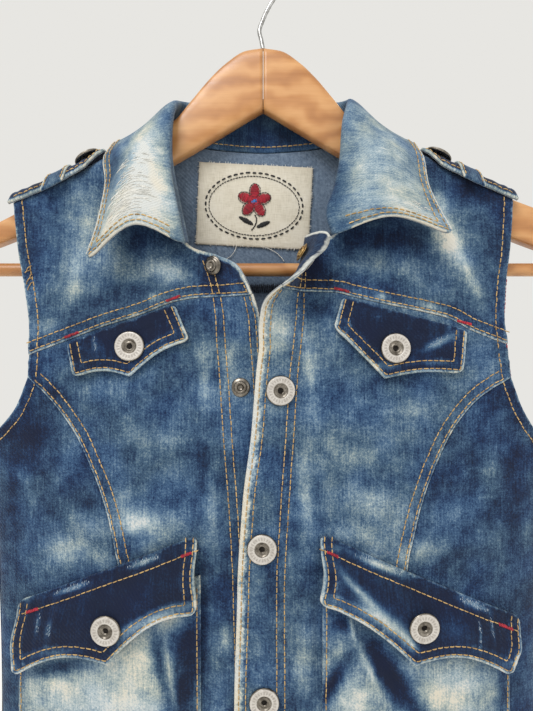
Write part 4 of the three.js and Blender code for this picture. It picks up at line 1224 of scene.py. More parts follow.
STRAPS = rows("side word lift", (-1, "right", 3), (1, "left", 1))
STRAP_LIFT_X = 150
LOOP_OUT = 145.5
LOOP_IN = 131.5
LOOP_WIDE = 1.2
LOOP_HALF = STRAP_HALF * LOOP_WIDE
LOOP_THICK = 1.6
LOOP_OVER = 2.1
PATCH = {"x": -6.5, "z": -182, "wide": 80, "tall": 57, "turn": math.radians(-3)}
PATCH_THICK = 1.0


def flap_edge(f):
    """A flap's lower edge, which scoops up on both sides of its tip."""

    def at(u):
        u = np.asarray(u, float)
        inner = u < 0.5
        s = np.where(inner, u / 0.5, (u - 0.5) / 0.5)
        draw = np.where(inner, f["scoop_in"], f["scoop_out"]) * np.sin(np.pi * s)
        near = straight(f["low_in"], f["tip"])(s)
        far = straight(f["tip"], f["low_out"])(s)
        x, z = (np.where(inner, a, b) for a, b in zip(near, far))
        return x, z + draw

    return at


def flap_surface(f):
    low = samples(flap_edge(f))
    order = np.argsort(low[:, 0])
    top = sorted([f["top_in"], f["top_out"]])

    def high(a, z):
        up = np.interp(a, [p[0] for p in top], [p[1] for p in top])
        down = np.interp(a, low[order, 0], low[order, 1])
        v = np.clip((up - z) / np.maximum(up - down, 1), 0, 1)
        return LAID_GAP + f["lift"] * smooth(v * 1.6) + DOUBLE

    return Laid(high)


def pocket_corners(k):
    """A pocket's corners: down its inner side, then up its outer one."""
    inner, outer = k["inner"], k["outer"]
    return (inner, k["top_in"]), (inner, k["low"]), (outer, k["low"] + POCKET_RISE), (outer, k["top_out"])


def pocket_surface(k):
    def high(a, z):
        u = np.clip((a - k["inner"]) / (k["outer"] - k["inner"]), 0, 1)
        top = k["top_in"] + (k["top_out"] - k["top_in"]) * u
        v = np.clip((top - z) / (top - k["low"] - POCKET_RISE * u), 0, 1)
        rim = np.sin(np.pi * u) ** 0.6
        foot = 1 - smooth((v - 0.7) / 0.3)
        puff = POCKET_PUFF * rim * foot
        for p in PLEATS:
            puff = puff + rim * foot * ridge(u, v, **p)
        return LAID_GAP + POCKET_WALL + puff * smooth(0.25 + 3 * v)

    return Laid(high)


def strap_height(strap, x):
    lift = strap["lift"] * smooth((STRAP_LIFT_X - x) / 42)
    return shoulder_z(strap["side"] * x) + STRAP_GAP + lift


def strap_surface(strap, out, end, width, height, tapered=False):
    """A strap's outside over a, the distance from its outer end, and b, across it."""
    u = np.linspace(0, 1, 81)[None, :]
    v = np.linspace(0, 1, 41)[:, None]
    taper = 1 - 0.45 * smooth((u - 0.8) / 0.2) if tapered else np.ones(u.shape)
    x = out + (end - out) * u
    across = (2 * v - 1) * taper * width
    off = np.abs(across)
    arch = STRAP_ARCH * np.minimum(1, off) ** 2.4 + 20 * np.maximum(0, off - 1)
    z = strap_height(strap, x) - arch
    p = np.stack([strap["side"] * x + 0 * v, 1 + STRAP_HALF * across, z], -1)
    lean = np.sign(across) * 1.5 * np.minimum(1.2, off) ** 1.4
    n = unit(np.stack([0 * across, lean, 1 + 0 * across], -1))
    a = np.linspace(0, abs(out - end) * 1.15, 81)
    b = np.linspace(-STRAP_HALF * width, STRAP_HALF * width, 41)
    surface = Woven(p + n * height, a, b)
    if surface.normals[20, 40, 2] < 0:
        surface.normals = -surface.normals
    return surface


# Pieces, their seams and where each shows wear

MATERIALS = {
    "denim": denim("denim_body"),
    "collar": denim("denim_collar", 0.9, 0.3),
    "flap": denim("denim_flap", 0.7, 0.3),
    "ochre": thread_material("thread_ochre", (0.25, 0.145, 0.048), (0.72, 0.48, 0.19)),
    "navy": thread_material("thread_navy", (0.004, 0.005, 0.012), (0.03, 0.035, 0.06)),
    "cream": thread_material("thread_cream", (0.5, 0.5, 0.47), (0.78, 0.77, 0.72)),
    "bleached": thread_material("thread_bleached", (0.16, 0.23, 0.33), (0.52, 0.6, 0.66)),
    "black": thread_material("thread_black", (0.004, 0.004, 0.005), (0.03, 0.03, 0.032)),
    "blue": thread_material("thread_blue", (0.01, 0.08, 0.35), (0.04, 0.25, 0.65)),
    "enamel": enamel_material(),
    "hole": metal("snap_eye", (0.03, 0.027, 0.025), (0.01, 0.009, 0.008), 0.5),
    "red": thread_material("thread_red", (0.14, 0.004, 0.012), (0.5, 0.012, 0.035)),
    "canvas": canvas_material(),
    "wood": wood_material(),
    "steel": metal("hook_steel", (0.55, 0.55, 0.54), (0.2, 0.19, 0.18), 0.3),
    "nickel": metal("snap_nickel", (0.3, 0.27, 0.23), (0.06, 0.05, 0.04), 0.34),
    "brass": metal("snap_brass", (0.62, 0.42, 0.17), (0.2, 0.12, 0.05), 0.33),
}

# Creases: each runs through three points, with its width and its height off the cloth
CREASE = "x0 z0 x1 z1 x2 z2 wide high"
CREASES = {
    "front_right": (
        (-37, -336, -63, -352, -89, -362, 4.8, 0.9),
        (-41, -272, -48, -304, -43, -343, 6.1, -0.9),
        (-73, -304, -92, -317, -108, -330, 5.5, 0.7),
        (-93, -349, -83, -343, -73, -330, 2.9, 0.7),
        (-83, -368, -72, -359, -61, -343, 2.9, 0.6),
        (-105, -420, -83, -412, -50, -401, 4.2, 1.2),
        (-31, -349, -35, -394, -32, -446, 4.8, 1),
        (-39, -420, -39, -472, -37, -517, 3.5, -1.2),
        (-23, -272, -20, -330, -17, -394, 4.2, 0.6),
    ),
    "side_front_right": (
        (-163, -410, -137, -399, -102, -394, 6.1, 1.3),
        (-157, -430, -131, -417, -99, -412, 4.2, -1.2),
        (-160, -343, -141, -352, -118, -368, 6.8, 0.9),
        (-166, -446, -164, -478, -166, -510, 5.5, -1),
    ),
    "front_left": (
        (43, -259, 39, -304, 36, -349, 5.5, -0.9),
        (53, -362, 56, -381, 54, -401, 3.5, 0.7),
        (77, -368, 79, -384, 79, -401, 2.2, 0.7),
        (88, -317, 101, -323, 118, -319, 6.1, 0.8),
        (43, -410, 59, -404, 85, -412, 4.2, 1),
        (27, -420, 29, -465, 26, -510, 5.5, 1.1),
        (37, -439, 35, -472, 38, -517, 3.5, -1.2),
        (56, -330, 72, -340, 88, -341, 5.5, -0.7),
    ),
    "side_front_left": (
        (95, -420, 121, -412, 153, -420, 6.1, 1.2),
        (101, -394, 127, -381, 153, -381, 6.1, -0.9),
        (134, -336, 150, -355, 156, -381, 5.5, 0.9),
    ),
    "yoke_front_right": (
        (-113, -180, -115, -214, -127, -259, 4.8, 1.1),
        (-97, -220, -100, -239, -92, -259, 5.5, -0.8),
        (-73, -223, -60, -236, -41, -241, 4.8, 0.8),
        (-136, -188, -139, -220, -133, -252, 4.2, -0.6),
    ),
    "yoke_front_left": (
        (115, -181, 124, -212, 145, -257, 4.2, 1.3),
        (130, -191, 139, -217, 152, -246, 4.2, -0.7),
        (53, -228, 76, -232, 101, -241, 4.8, 0.9),
        (105, -214, 109, -230, 121, -246, 4.2, -0.7),
    ),
    "pocket_right": (
        (-73, -462, -92, -478, -124, -492, 3.5, 1),
        (-66, -464, -63, -490, -59, -517, 2.9, -2),
        (-59, -460, -56, -484, -53, -517, 2.9, 1.6),
        (-49, -456, -46, -482, -45, -514, 3, -1.8),
        (-144, -497, -118, -492, -99, -504, 4.2, -0.9),
    ),
    "pocket_left": (
        (54, -453, 62, -477, 80, -516, 2.2, 1.9),
        (41, -453, 57, -464, 65, -482, 1.6, 1.1),
        (66, -462, 79, -488, 96, -517, 3.8, -2),
        (55, -474, 46, -496, 36, -517, 2.9, -1.5),
        (95, -472, 108, -497, 121, -517, 4.8, 0.9),
        (156, -478, 140, -497, 134, -517, 4.2, -0.8),
    ),
    "flap_waist_right": (
        (-131, -439, -130, -455, -133, -472, 2.2, 0.5),
    ),
    "flap_waist_left": (
        (43, -420, 61, -435, 85, -460, 2.9, 0.9),
    ),
    "flap_chest_right": (
        (-108, -274, -107, -282, -103, -290, 1.7, 0.5),
    ),
    "flap_chest_left": (
        (125, -272, 114, -279, 96, -288, 1.9, 0.6),
    ),
    "back_panel": (
        (-120, -300, -112, -400, -124, -520, 12, 1.4),
        (118, -290, 104, -410, 120, -540, 13, 1.5),
        (-40, -320, -30, -430, -44, -560, 10, 1.1),
        (44, -330, 58, -420, 40, -530, 9, -1),
        (-90, -360, -60, -380, -20, -372, 8, 0.9),
        (20, -455, 60, -470, 110, -460, 9, 1),
        (-150, -420, -110, -440, -70, -432, 8, -0.9),
        (-6, -520, 4, -580, -4, -632, 10, 1.2),
        (130, -560, 104, -600, 120, -634, 9, 1.1),
        (-130, -550, -110, -596, -126, -634, 10, 1.2),
    ),
    "back_yoke": (
        (-120, -175, -116, -200, -122, -234, 8, 0.9),
        (122, -178, 112, -205, 118, -236, 8, 0.8),
        (-50, -160, -30, -190, -44, -230, 8, -0.7),
        (30, -158, 44, -190, 36, -232, 7, 0.7),
    ),
    "collar": (
        (-235, 40, -215, 60, -190, 80, 6, 0.6),
        (-240, 60, -215, 72, -195, 88, 4, 0.5),
        (-180, 45, -170, 65, -180, 84, 6, -0.4),
        (-150, 35, -140, 60, -150, 85, 8, 0.7),
        (-100, 40, -90, 60, -95, 85, 7, 0.5),
        (-20, 40, -10, 60, -22, 85, 8, 0.6),
        (40, 38, 52, 60, 44, 86, 8, -0.5),
        (150, 36, 160, 60, 150, 84, 8, 0.7),
        (215, 42, 225, 62, 215, 84, 6, 0.5),
        (190, 50, 205, 60, 225, 56, 5, -0.4),
    ),
}
# Fades: where the wash took or left colour, with their half sizes and turn in degrees. Some dark ones are
# painted shade, noted where they stand.
SPOT_COLUMNS = "x z rx rz turn pale"
FADES_AND_SHADE = {
    "yoke_front_right": (
        (-116, -206, 14, 27, 10, 0.34),
        (-130, -230, 11, 15, -14, 0.2),
        (-62, -233, 12, 8, 4, 0.2),
        (-72, -250, 3.5, 3, 15, 0.35),
        (-79, -229, 24.5, 9, 5, 0.3),
        # painted shadow under the right collar's front edge
        (-81, -215, 6.5, 12.9, 0, -0.22),
        (-124, -244, 5.8, 15.5, -12, 0.24),
        (-107, -252, 16.8, 5.8, 18, -0.16),
        (-26, -228, 18.1, 14.2, 0, -0.36),
        (-141, -188, 9, 10.3, 0, -0.08),
        (-141, -266, 12.9, 6.5, 15, 0.12),
        (-53, -236, 11.6, 5.8, 0, 0.14),
    ),
    "yoke_front_left": (
        (139, -175, 28.4, 12.9, -20, -0.3),
        (120, -206, 8.5, 20, 14, 0.42),
        (115, -186, 9, 13, 14, 0.28),
        (128, -216, 15, 22, 16, 0.2),
        (80, -228, 24, 8, -4, 0.2),
        (77, -249, 3.5, 3, 0, 0.4),
        (110, -256, 8, 1.8, -12, 0.35),
        (124, -215, 7.7, 11.6, 12, 0.3),
        (136, -237, 3.9, 16.8, 22, 0.4),
        # painted shadow under the left collar's front edge
        (79, -211, 29.7, 7.7, 0, -0.26),
        (97, -228, 10.3, 7.7, 0, 0.14),
        (66, -240, 28.4, 5.2, -8, -0.14),
        (32, -228, 12.9, 12.9, 0, -0.34),
        (114, -247, 12.9, 6.5, -15, 0.1),
        (153, -214, 6.5, 19.4, 5, -0.06),
    ),
    "front_right": (
        (-44, -262, 12.9, 9, 0, -0.18),
        (-37, -305, 5.2, 23.2, 0, 0.26),
        (-22, -295, 5.2, 15.5, 0, 0.22),
        (-73, -343, 21.9, 12.9, 0, 0.1),
        (-105, -324, 11.6, 9, 0, -0.12),
        (-79, -396, 16.8, 7.7, 0, 0.5),
        (-83, -357, 14.2, 4.5, 32, 0.14),
        (-38, -357, 5.2, 25.8, 0, -0.2),
        (-33, -379, 4.5, 19.4, 0, 0.2),
        (-26, -444, 7.7, 19.4, 0, -0.18),
        (-24, -469, 3.9, 11.6, 0, 0.28),
        (-39, -472, 3.9, 45.1, 0, -0.26),
        (-66, -313, 19.4, 9, 10, -0.1),
        (-90, -381, 6.5, 16.8, 0, 0.16),
        (-57, -362, 14.2, 9, 0, 0.1),
    ),
    "side_front_right": (
        (-130, -415, 19.4, 11.6, 8, 0.56),
        (-113, -398, 14.2, 9, 0, 0.42),
        (-153, -345, 17, 18, 0, -0.26),
        (-167, -381, 5.8, 38.7, 0, -0.18),
        (-141, -368, 16.8, 11.6, 0, 0.06),
        (-124, -343, 9, 12.9, 20, 0.08),
        (-105, -420, 6.5, 9, 0, 0.2),
    ),
    "front_left": (
        (10, -270, 9, 20, 0, 0.44),
        (37, -258, 10.3, 5.8, 0, -0.2),
        (30, -299, 4.5, 29.7, 3, 0.32),
        (26, -368, 5.2, 33.5, 2, 0.26),
        (33, -377, 3.9, 11.6, 0, -0.16),
        (70, -385, 21.9, 14.2, 0, 0.24),
        (60, -403, 12.9, 5.8, -6, 0.26),
        (90, -415, 6.5, 7.7, 0, 0.3),
        # painted shadow under the left chest flap's lower edge
        (92, -306, 24.5, 5.2, 0, -0.14),
        (96, -324, 12.9, 7.7, 20, 0.14),
        (5, -439, 5.8, 21.9, 0, -0.2),
        (25, -479, 5.8, 18.1, 0, 0.28),
        (28, -432, 7.1, 14.2, 0, -0.14),
        (53, -343, 12.9, 16.8, 0, 0.06),
        (5, -304, 5.2, 14.2, 0, 0.12),
    ),
    "side_front_left": (
        (108, -414, 12.9, 8.4, 0, 0.34),
        (149, -364, 6.5, 14.2, 0, 0.2),
        (134, -348, 9, 7.7, 0, 0.12),
        (168, -375, 7.7, 38.7, 0, -0.2),
        (153, -312, 16.8, 12.9, 0, -0.24),
        (121, -388, 10.3, 11.6, 0, 0.1),
    ),
    "flap_chest_right": (
        (-108, -281, 1.7, 6.5, 12, 0.4),
        (-103, -284, 1.4, 5.8, 14, 0.28),
        (-114, -286, 5.2, 5.2, 0, 0.08),
        (-73, -284, 12.9, 3.9, 18, 0.06),
    ),
    "flap_chest_left": (
        (113, -280, 12.9, 2.8, 26, 0.66),
        (121, -269, 1.7, 4.5, -30, 0.35),
        (79, -295, 9, 2.6, 0, 0.38),
        (128, -278, 5.2, 6.5, 0, 0.16),
        (108, -292.5, 14.2, 1.9, 0, 0.32),
    ),
    "flap_waist_right": (
        (-68, -451.5, 18, 3.4, 22, 0.46),
        (-84, -462, 8.4, 3.9, 40, 0.26),
        (-143, -460, 1.5, 5.8, 8, 0.4),
        (-134, -462, 1.8, 5.2, 0, 0.45),
        (-135, -472, 1.9, 1.9, 0, 0.3),
        (-123, -438.5, 12, 1.6, 21, 0.75),
        (-76, -419.3, 10, 1.8, 21, 0.7),
        (-152, -447, 6.5, 2.6, 14, 0.3),
        (-129, -475, 18, 2.8, 10, 0.26),
    ),
    "flap_waist_left": (
        (57, -431, 14.2, 2.6, -42, 0.62),
        (73, -449, 17, 4.8, -40, 0.88),
        (90, -465, 9, 3.6, -50, 0.6),
        (75, -421.4, 18, 2.3, -23, 0.85),
        (137, -449.7, 11, 2.1, -25, 0.62),
        (136, -466, 1, 7.7, -8, 0.5),
        (146, -463, 1, 6.5, -8, 0.36),
        (160, -484, 2.6, 5.8, 0, 0.5),
        (47, -410, 5.2, 2.6, 0, 0.35),
        (46, -430, 3.2, 10.3, 0, 0.2),
        (121, -460, 7.7, 5.2, 0, 0.14),
    ),
    "pocket_right": (
        # painted shadow under the right waist flap's lower edge
        (-133, -491, 24, 5.5, 14, -0.62),
        # dark inner side of the pocket: partly unfaded indigo, partly painted shade in its deep pleat
        (-49, -495, 10, 40, -8, -0.85),
        # dark pleat trough: partly unfaded indigo, partly painted shade
        (-66, -483, 3.6, 22, 12, -0.5),
        (-58, -494, 2.6, 22, 6, 0.4),
        # dark pleat below the flap's inner end: partly unfaded indigo, partly painted shade
        (-54, -470, 14, 9, 0, -0.42),
        (-160, -497, 3.2, 25.8, 0, -0.25),
        (-99, -510, 25.8, 9, 0, 0.12),
        (-83, -481, 7.7, 9, 30, 0.15),
    ),
    "pocket_left": (
        (49, -457, 5.8, 5.8, 0, -0.5),
        # dark pleat trough: partly unfaded indigo, partly painted shade
        (82, -494, 7.5, 32, 34, -0.9),
        # dark pleat trough: partly unfaded indigo, partly painted shade
        (45, -496, 4.5, 24, -26, -0.7),
        (59, -513, 10.3, 14, 6, 0.4),
        (117, -506, 21.9, 12.9, 0, 0.26),
        (66, -484, 2.6, 18, 24, 0.5),
        # painted shadow under the left waist flap's lower edge
        (106, -478, 20, 5, -6, -0.45),
        (158, -500, 5, 30, 0, -0.3),
        (56, -459, 1.5, 9, 8, 0.4),
        (153, -504, 7.7, 19.4, 0, -0.1),
    ),
    "collar": (
        (-214, 58, 38, 30, 0, 0.36),
        (-205, 44, 52, 15, 0, 0.3),
        (-150, 44, 36, 11, 0, 0.2),
        (-160, 80, 34, 14, 0, -0.34),
        (-100, 62, 20, 24, 0, -0.12),
        (-205, 90, 40, 4, 0, 0.2),
        (-240, 76, 8, 12, 0, 0.2),
        (-225, 12, 60, 10, 0, -0.25),
        (-243, 80, 4, 12, 0, -0.25),
        (0, 12, 110, 16, 0, -0.42),
        (0, 60, 60, 20, 0, -0.1),
        (190, 60, 60, 30, 0, 0.1),
        (238, 50, 9, 8, 0, -0.3),
        (236, 66, 14, 26, 0, 0.2),
        (222, 60, 30, 16, 0, 0.14),
        (150, 80, 34, 10, 0, -0.1),
        (180, 40, 30, 12, 0, 0.1),
        (222, 20, 60, 12, 0, -0.3),
    ),
    "back_yoke": (
        (-110, -195, 12, 24, 8, 0.28),
        (118, -200, 14, 26, -10, 0.26),
        (-30, -215, 40, 10, 4, 0.18),
        (50, -180, 30, 12, 0, -0.16),
        (-150, -225, 14, 12, 0, -0.18),
        (20, -232, 60, 5, 0, -0.14),
    ),
    "back_panel": (
        (-80, -330, 36, 40, 12, 0.26),
        (86, -350, 34, 46, -8, 0.24),
        (0, -290, 40, 18, 0, -0.16),
        (-20, -470, 50, 40, 6, 0.22),
        (100, -500, 30, 50, 4, 0.14),
        (-130, -480, 18, 70, 0, -0.2),
        (150, -430, 18, 60, 0, -0.2),
        (-70, -590, 40, 26, -6, 0.24),
        (60, -600, 34, 20, 8, 0.18),
        (10, -400, 20, 60, 0, -0.1),
        (-165, -380, 14, 30, 0, 0.16),
    ),
    "shoulder_strap_right": (
        (50, 0, 12, 8, 0, 0.2),
        (20, 4, 12, 6, 0, -0.15),
    ),
}
# How pale each piece is on the whole
BASE = {
    "yoke_front_right": 0.33,
    "yoke_front_left": 0.33,
    "front_right": 0.37,
    "front_left": 0.41,
    "side_front_right": 0.27,
    "side_front_left": 0.27,
    "back_yoke": 0.36,
    "back_panel": 0.35,
    "collar": 0.62,
    "pocket_right": 0.78,
    "pocket_left": 0.62,
    "flap_chest_right": -0.01,
    "flap_chest_left": -0.01,
    "flap_waist_right": -0.02,
    "flap_waist_left": 0.02,
    "shoulder_strap_right": 0.14,
    "shoulder_strap_left": 0.1,
    "strap_loop_right": 0.3,
    "strap_loop_left": 0.25,
    "neck_patch": 0.5,
}


PANELS = {}
# Rows of stitching, by their distance in from the edge of the piece
FELL_ROWS = (2, 7.5)
PRINCESS_ROWS = (2.2, 7.7)
PLACKET_ROWS = (0.4, 5.6)
FRONT_ROWS = (2.6, 7)
ARM_ROW = 6
HEM_ROW = 12
FLAP_ROWS = (2, 7)
FLAP_TOP_ROW = 8
POCKET_ROW = 2
COLLAR_ROWS = (3, 8)
PRINCESS_GAP = 0.3
FLANK_SHARE = 0.1
BACK_ARM_SHARE = 0.35
FIRST, LAST = 0.0001, 0.9999  # shares beyond which an edge takes its neighbour's corner
FIRST_POINT = np.zeros(1)
LAST_POINT = np.ones(1)


def panel_of(name, surface, edges, thick=CLOTH):
    creased = rows(CREASE, *CREASES.get(name, ()))
    fades = rows(SPOT_COLUMNS, *FADES_AND_SHADE.get(name, ()))
    PANELS[name] = Panel(surface, edges, creased, fades, BASE[name], thick)


def felled(line, rows_at=FELL_ROWS):
    return Edge(line, band=9.5, high=0.8, rows_at=rows_at, worn=0.75)


def bound_arm(line, worn=0.6):
    return Edge(line, band=8, high=0.6, rows_at=(ARM_ROW,), worn=worn)


def hem(x0, x1):
    return Edge([(x0, HEM_Z), (x1, HEM_Z)], band=13, high=0.8, rows_at=(HEM_ROW,), worn=0.9)


def mirrored(line, side):
    return [(side * x, z) for x, z in line]


def front_lines(side):
    front = FRONTS[side]
    low = seam(YOKE_SEAM[side])
    corner = CORNER_Z[side]
    return {
        "seam": samples(lambda t: low(t * 0.985)),
        "neck": samples(seam(NECK[side])),
        "arm": samples(seam(ARMHOLE_FRONT, side)),
        "flank": samples(seam(ARMHOLE_FLANK, side)),
        "under": samples(seam(ARMHOLE_UNDER, side)),
        "princess": samples(seam(PRINCESS, side)),
        "edge": by_z(front.edge, corner, HEM_Z, 120),
        "placket": by_z(front.seam, corner, HEM_Z, 120),
        "end": float(low(1)[1]),
    }


def build_yoke(side, word, lines, bands):
    front = FRONTS[side]
    low, neck, arm = seam(YOKE_SEAM[side]), seam(NECK[side]), seam(ARMHOLE_FRONT, side)
    share = track(SEAM_SHARE, "top", "seam")
    end = lines["end"] + SEAM_GAP
    tip_z = float(shoulder_z(side * SHOULDER_TIP_X))
    arm_top, arm_low = (float(arm(t)[1]) for t in (0, 1))
    stretch = (float(low(0)[1]) + SEAM_GAP - tip_z) / (arm_low - arm_top)
    neck_edge = Edge(lines["neck"][30:], band=2, high=0.3, worn=1, pull=0.1, crown=1.7)
    edges = [felled(lines["seam"]), neck_edge, bound_arm(lines["arm"]), *bands]
    panel_of("yoke_front_" + word, front, edges)
    right = falling(front.edge, CORNER_Z[side], end)

    def top(u):
        x = side * (SHOULDER_TIP_X + (SHOULDER_NECK_X - SHOULDER_TIP_X) * u / SHOULDER_SHARE)
        along = neck(np.clip((u - SHOULDER_SHARE) / (1 - SHOULDER_SHARE), 0, 1))
        cut = [np.where(u < SHOULDER_SHARE, a, b) for a, b in zip((x, shoulder_z(x)), along)]
        return [np.where(u > LAST, r, c) for r, c in zip(right(0), cut)]

    def bottom(u):
        x, z = low(share(u))
        return np.where(u > LAST, front.edge(end), x), z + SEAM_GAP

    def left(v):
        x, z = arm(v)
        return x, tip_z + (z - arm_top) * stretch

    at = patch(top, bottom, left, right)
    make_panel("yoke_front_" + word, even(215), finer(YOKE_STOPS, 125), at)


def build_main(side, word, lines, bands):
    front = FRONTS[side]
    low, flank = seam(YOKE_SEAM[side]), seam(ARMHOLE_FLANK, side)
    princess = seam(PRINCESS, side, -side * PRINCESS_GAP)
    start, end = float(low(0)[1]) - SEAM_GAP, lines["end"] - SEAM_GAP
    foot = hem(lines["princess"][-1][0], front.edge(HEM_Z))
    edges = [felled(lines["princess"], PRINCESS_ROWS), bound_arm(lines["flank"]), *bands, foot]
    panel_of("front_" + word, front, edges)

    def top(u):
        x, z = low(u)
        return np.where(u > LAST, front.edge(end), x), z - SEAM_GAP

    def left(v):
        t = v / FLANK_SHARE
        on_flank = flank(t)[0] - side * PRINCESS_GAP * t, start + (flank(1)[1] - start) * t
        on_seam = princess((v - FLANK_SHARE) / (1 - FLANK_SHARE))
        return [np.where(v < FLANK_SHARE, p, q) for p, q in zip(on_flank, on_seam)]

    bottom = level_edge(left(LAST_POINT)[0][0], front.edge(HEM_Z), HEM_Z)
    at = patch(top, bottom, left, falling(front.edge, end, HEM_Z))
    make_panel("front_" + word, even(160), even(390), at)


def build_side(side, word, lines):
    under = seam(ARMHOLE_UNDER, side)
    inner = seam(PRINCESS, side, side * PRINCESS_GAP)
    outer = falling(lambda z: MIDDLE(z) + side * HALF(z), UNDERARM_Z, HEM_Z)
    panel_of("side_front_" + word, FRONTS[side], [bound_arm(lines["under"]), hem(side * 193, side * 88)])

    def top(u):
        corners = zip(under(u), outer(FIRST_POINT), inner(FIRST_POINT))
        return [np.where(u < FIRST, a, np.where(u > LAST, b, at)) for at, a, b in corners]

    bottom = level_edge(outer(LAST_POINT)[0][0], inner(LAST_POINT)[0][0], HEM_Z)
    crowded = 1 - np.cos(even(115, end=np.pi / 2))
    at = patch(top, bottom, outer, inner)
    make_panel("side_front_" + word, crowded, even(330), at)


def build_fronts():
    for side, word in SIDES:
        lines = front_lines(side)
        crown = 5.2 if side > 0 else 1.6
        bands = [
            Edge(lines["edge"], 26, 0.5, FRONT_ROWS, 0.95, pull=0.1, dark=0.02, crown=crown),
            Edge(lines["placket"], 6, 0.25, PLACKET_ROWS, 0.25, pull=0.15),
        ]
        build_yoke(side, word, lines, bands)
        build_main(side, word, lines, bands)
        build_side(side, word, lines)


def build_back():
    neck, arm, low_arm = seam(BACK_NECK), seam(ARMHOLE_BACK), seam(ARMHOLE_BACK_LOW)
    share = BACK_SHOULDER_SHARE
    low_z = BACK_YOKE_Z + SEAM_GAP
    arms = [bound_arm(mirrored(samples(arm), side), 0.9) for side in (-1, 1)]
    yoke_seam = felled([(-163, BACK_YOKE_Z), (163, BACK_YOKE_Z)])
    panel_of("back_yoke", BACK, [yoke_seam, Edge(samples(neck), 6, 0.3, (4,), 0.3), *arms])

    def top(u):
        west = -(SHOULDER_TIP_X + (SHOULDER_NECK_X - SHOULDER_TIP_X) * u / share)
        east = SHOULDER_TIP_X + (SHOULDER_NECK_X - SHOULDER_TIP_X) * (1 - u) / share
        along = neck(np.clip((u - share) / (1 - 2 * share), 0, 1))
        x = np.where(u <= share, west, np.where(u >= 1 - share, east, along[0]))
        z = np.where((u <= share) | (u >= 1 - share), shoulder_z(x), along[1])
        return x, z

    def arm_side(side):
        tip_z = float(shoulder_z(side * SHOULDER_TIP_X))
        return lambda v: (side * arm(v)[0], tip_z + (low_z - tip_z) * v)

    half = float(arm(LAST_POINT)[0][0])
    at = patch(top, level_edge(-half, half, low_z), arm_side(-1), arm_side(1))
    make_panel("back_yoke", even(350), finer(YOKE_STOPS, 100), at)

    low_arms = [bound_arm(mirrored(samples(low_arm), side), 0.9) for side in (-1, 1)]
    panel_of("back_panel", BACK, [*low_arms, hem(-190, 190)])

    def side_line(side):
        def at(v):
            x, z = low_arm(np.clip(v / BACK_ARM_SHARE, 0, 1))
            z = np.where(v <= 0, BACK_YOKE_Z - SEAM_GAP, z)
            low = UNDERARM_Z + (HEM_Z - UNDERARM_Z) * (v - BACK_ARM_SHARE) / (1 - BACK_ARM_SHARE)
            on_arm = v < BACK_ARM_SHARE
            return np.where(on_arm, side * x, MIDDLE(low) + side * HALF(low)), np.where(on_arm, z, low)

        return at

    def across(v):
        west, east = (side_line(side)(v) for side in (-1, 1))
        return level_edge(west[0][0], east[0][0], west[1][0])

    crowded = (1 - np.cos(even(380, end=np.pi))) / 2
    at = patch(across(FIRST_POINT), across(LAST_POINT), side_line(-1), side_line(1))
    make_panel("back_panel", crowded, even(400), at)


def build_flaps():
    for f in FLAPS:
        name = "flap_" + f["name"]
        kind, word = f["name"].split("_")
        waist = kind == "waist"
        low = flap_edge(f)
        top = straight(f["top_in"], f["top_out"])
        ends = [straight(f["top_" + k], f["low_" + k]) for k in ("in", "out")]
        pale = 0.24 if waist else 0.12
        edges = [
            Edge(samples(e), 8, 0.3, FLAP_ROWS, 1, pull=0.2, dark=-0.3 * pale, crown=1.7) for e in ends
        ]
        edges.append(Edge(samples(low), 8, 0.3, FLAP_ROWS, 1, pull=0.2, dark=-pale, crown=1.9))
        edges.append(Edge(samples(top), 7, 0.5, (FLAP_TOP_ROW,) if waist else (), 0.5, dark=0))
        panel_of(name, flap_surface(f), edges, DOUBLE)
        wide = abs(f["top_out"][0] - f["top_in"][0])
        corners = rounded(0, 1, 1, 5 / wide, 5 / 40, 4 / 40)
        at = patch(top, low, *ends)
        make_panel(
            name,
            even(wide, FLAP_FINE),
            even(46, FLAP_FINE),
            lambda u, v: at(*corners(u, v)),
            "flap",
            "dark_denim",
        )


def build_pockets():
    for k in POCKETS:
        a, b, c, d = pocket_corners(k)
        inner, bottom, outer = straight(a, b), straight(b, c), straight(d, c)
        edges = [Edge(samples(e), 6, 0.4, (POCKET_ROW,), 0.3) for e in (inner, outer, bottom)]
        panel_of(k["name"], pocket_surface(k), edges, POCKET_WALL)
        at = patch(straight(a, d), bottom, inner, outer)
        make_panel(k["name"], even(122), even(150), at)


def build_collar():
    long, wide = COLLAR_LONG, COLLAR_WIDE
    edges = [Edge([(-long, wide), (long, wide)], 8, 0.35, COLLAR_ROWS, 0.95, pull=0.25)]
    edges += [Edge([(x, 30), (x, wide)], 8, 0.3, COLLAR_ROWS, 0.9, pull=0.2) for x in (-long, long)]
    panel_of("collar", collar_surface(), edges, DOUBLE)
    make_panel(
        "collar",
        even(560, start=-long, end=long),
        even(wide + 8, end=wide),
        rounded(-long, long, wide, 12, 9),
        "collar",
        "faded_denim",
    )


def as_is(a, b):
    return a, b


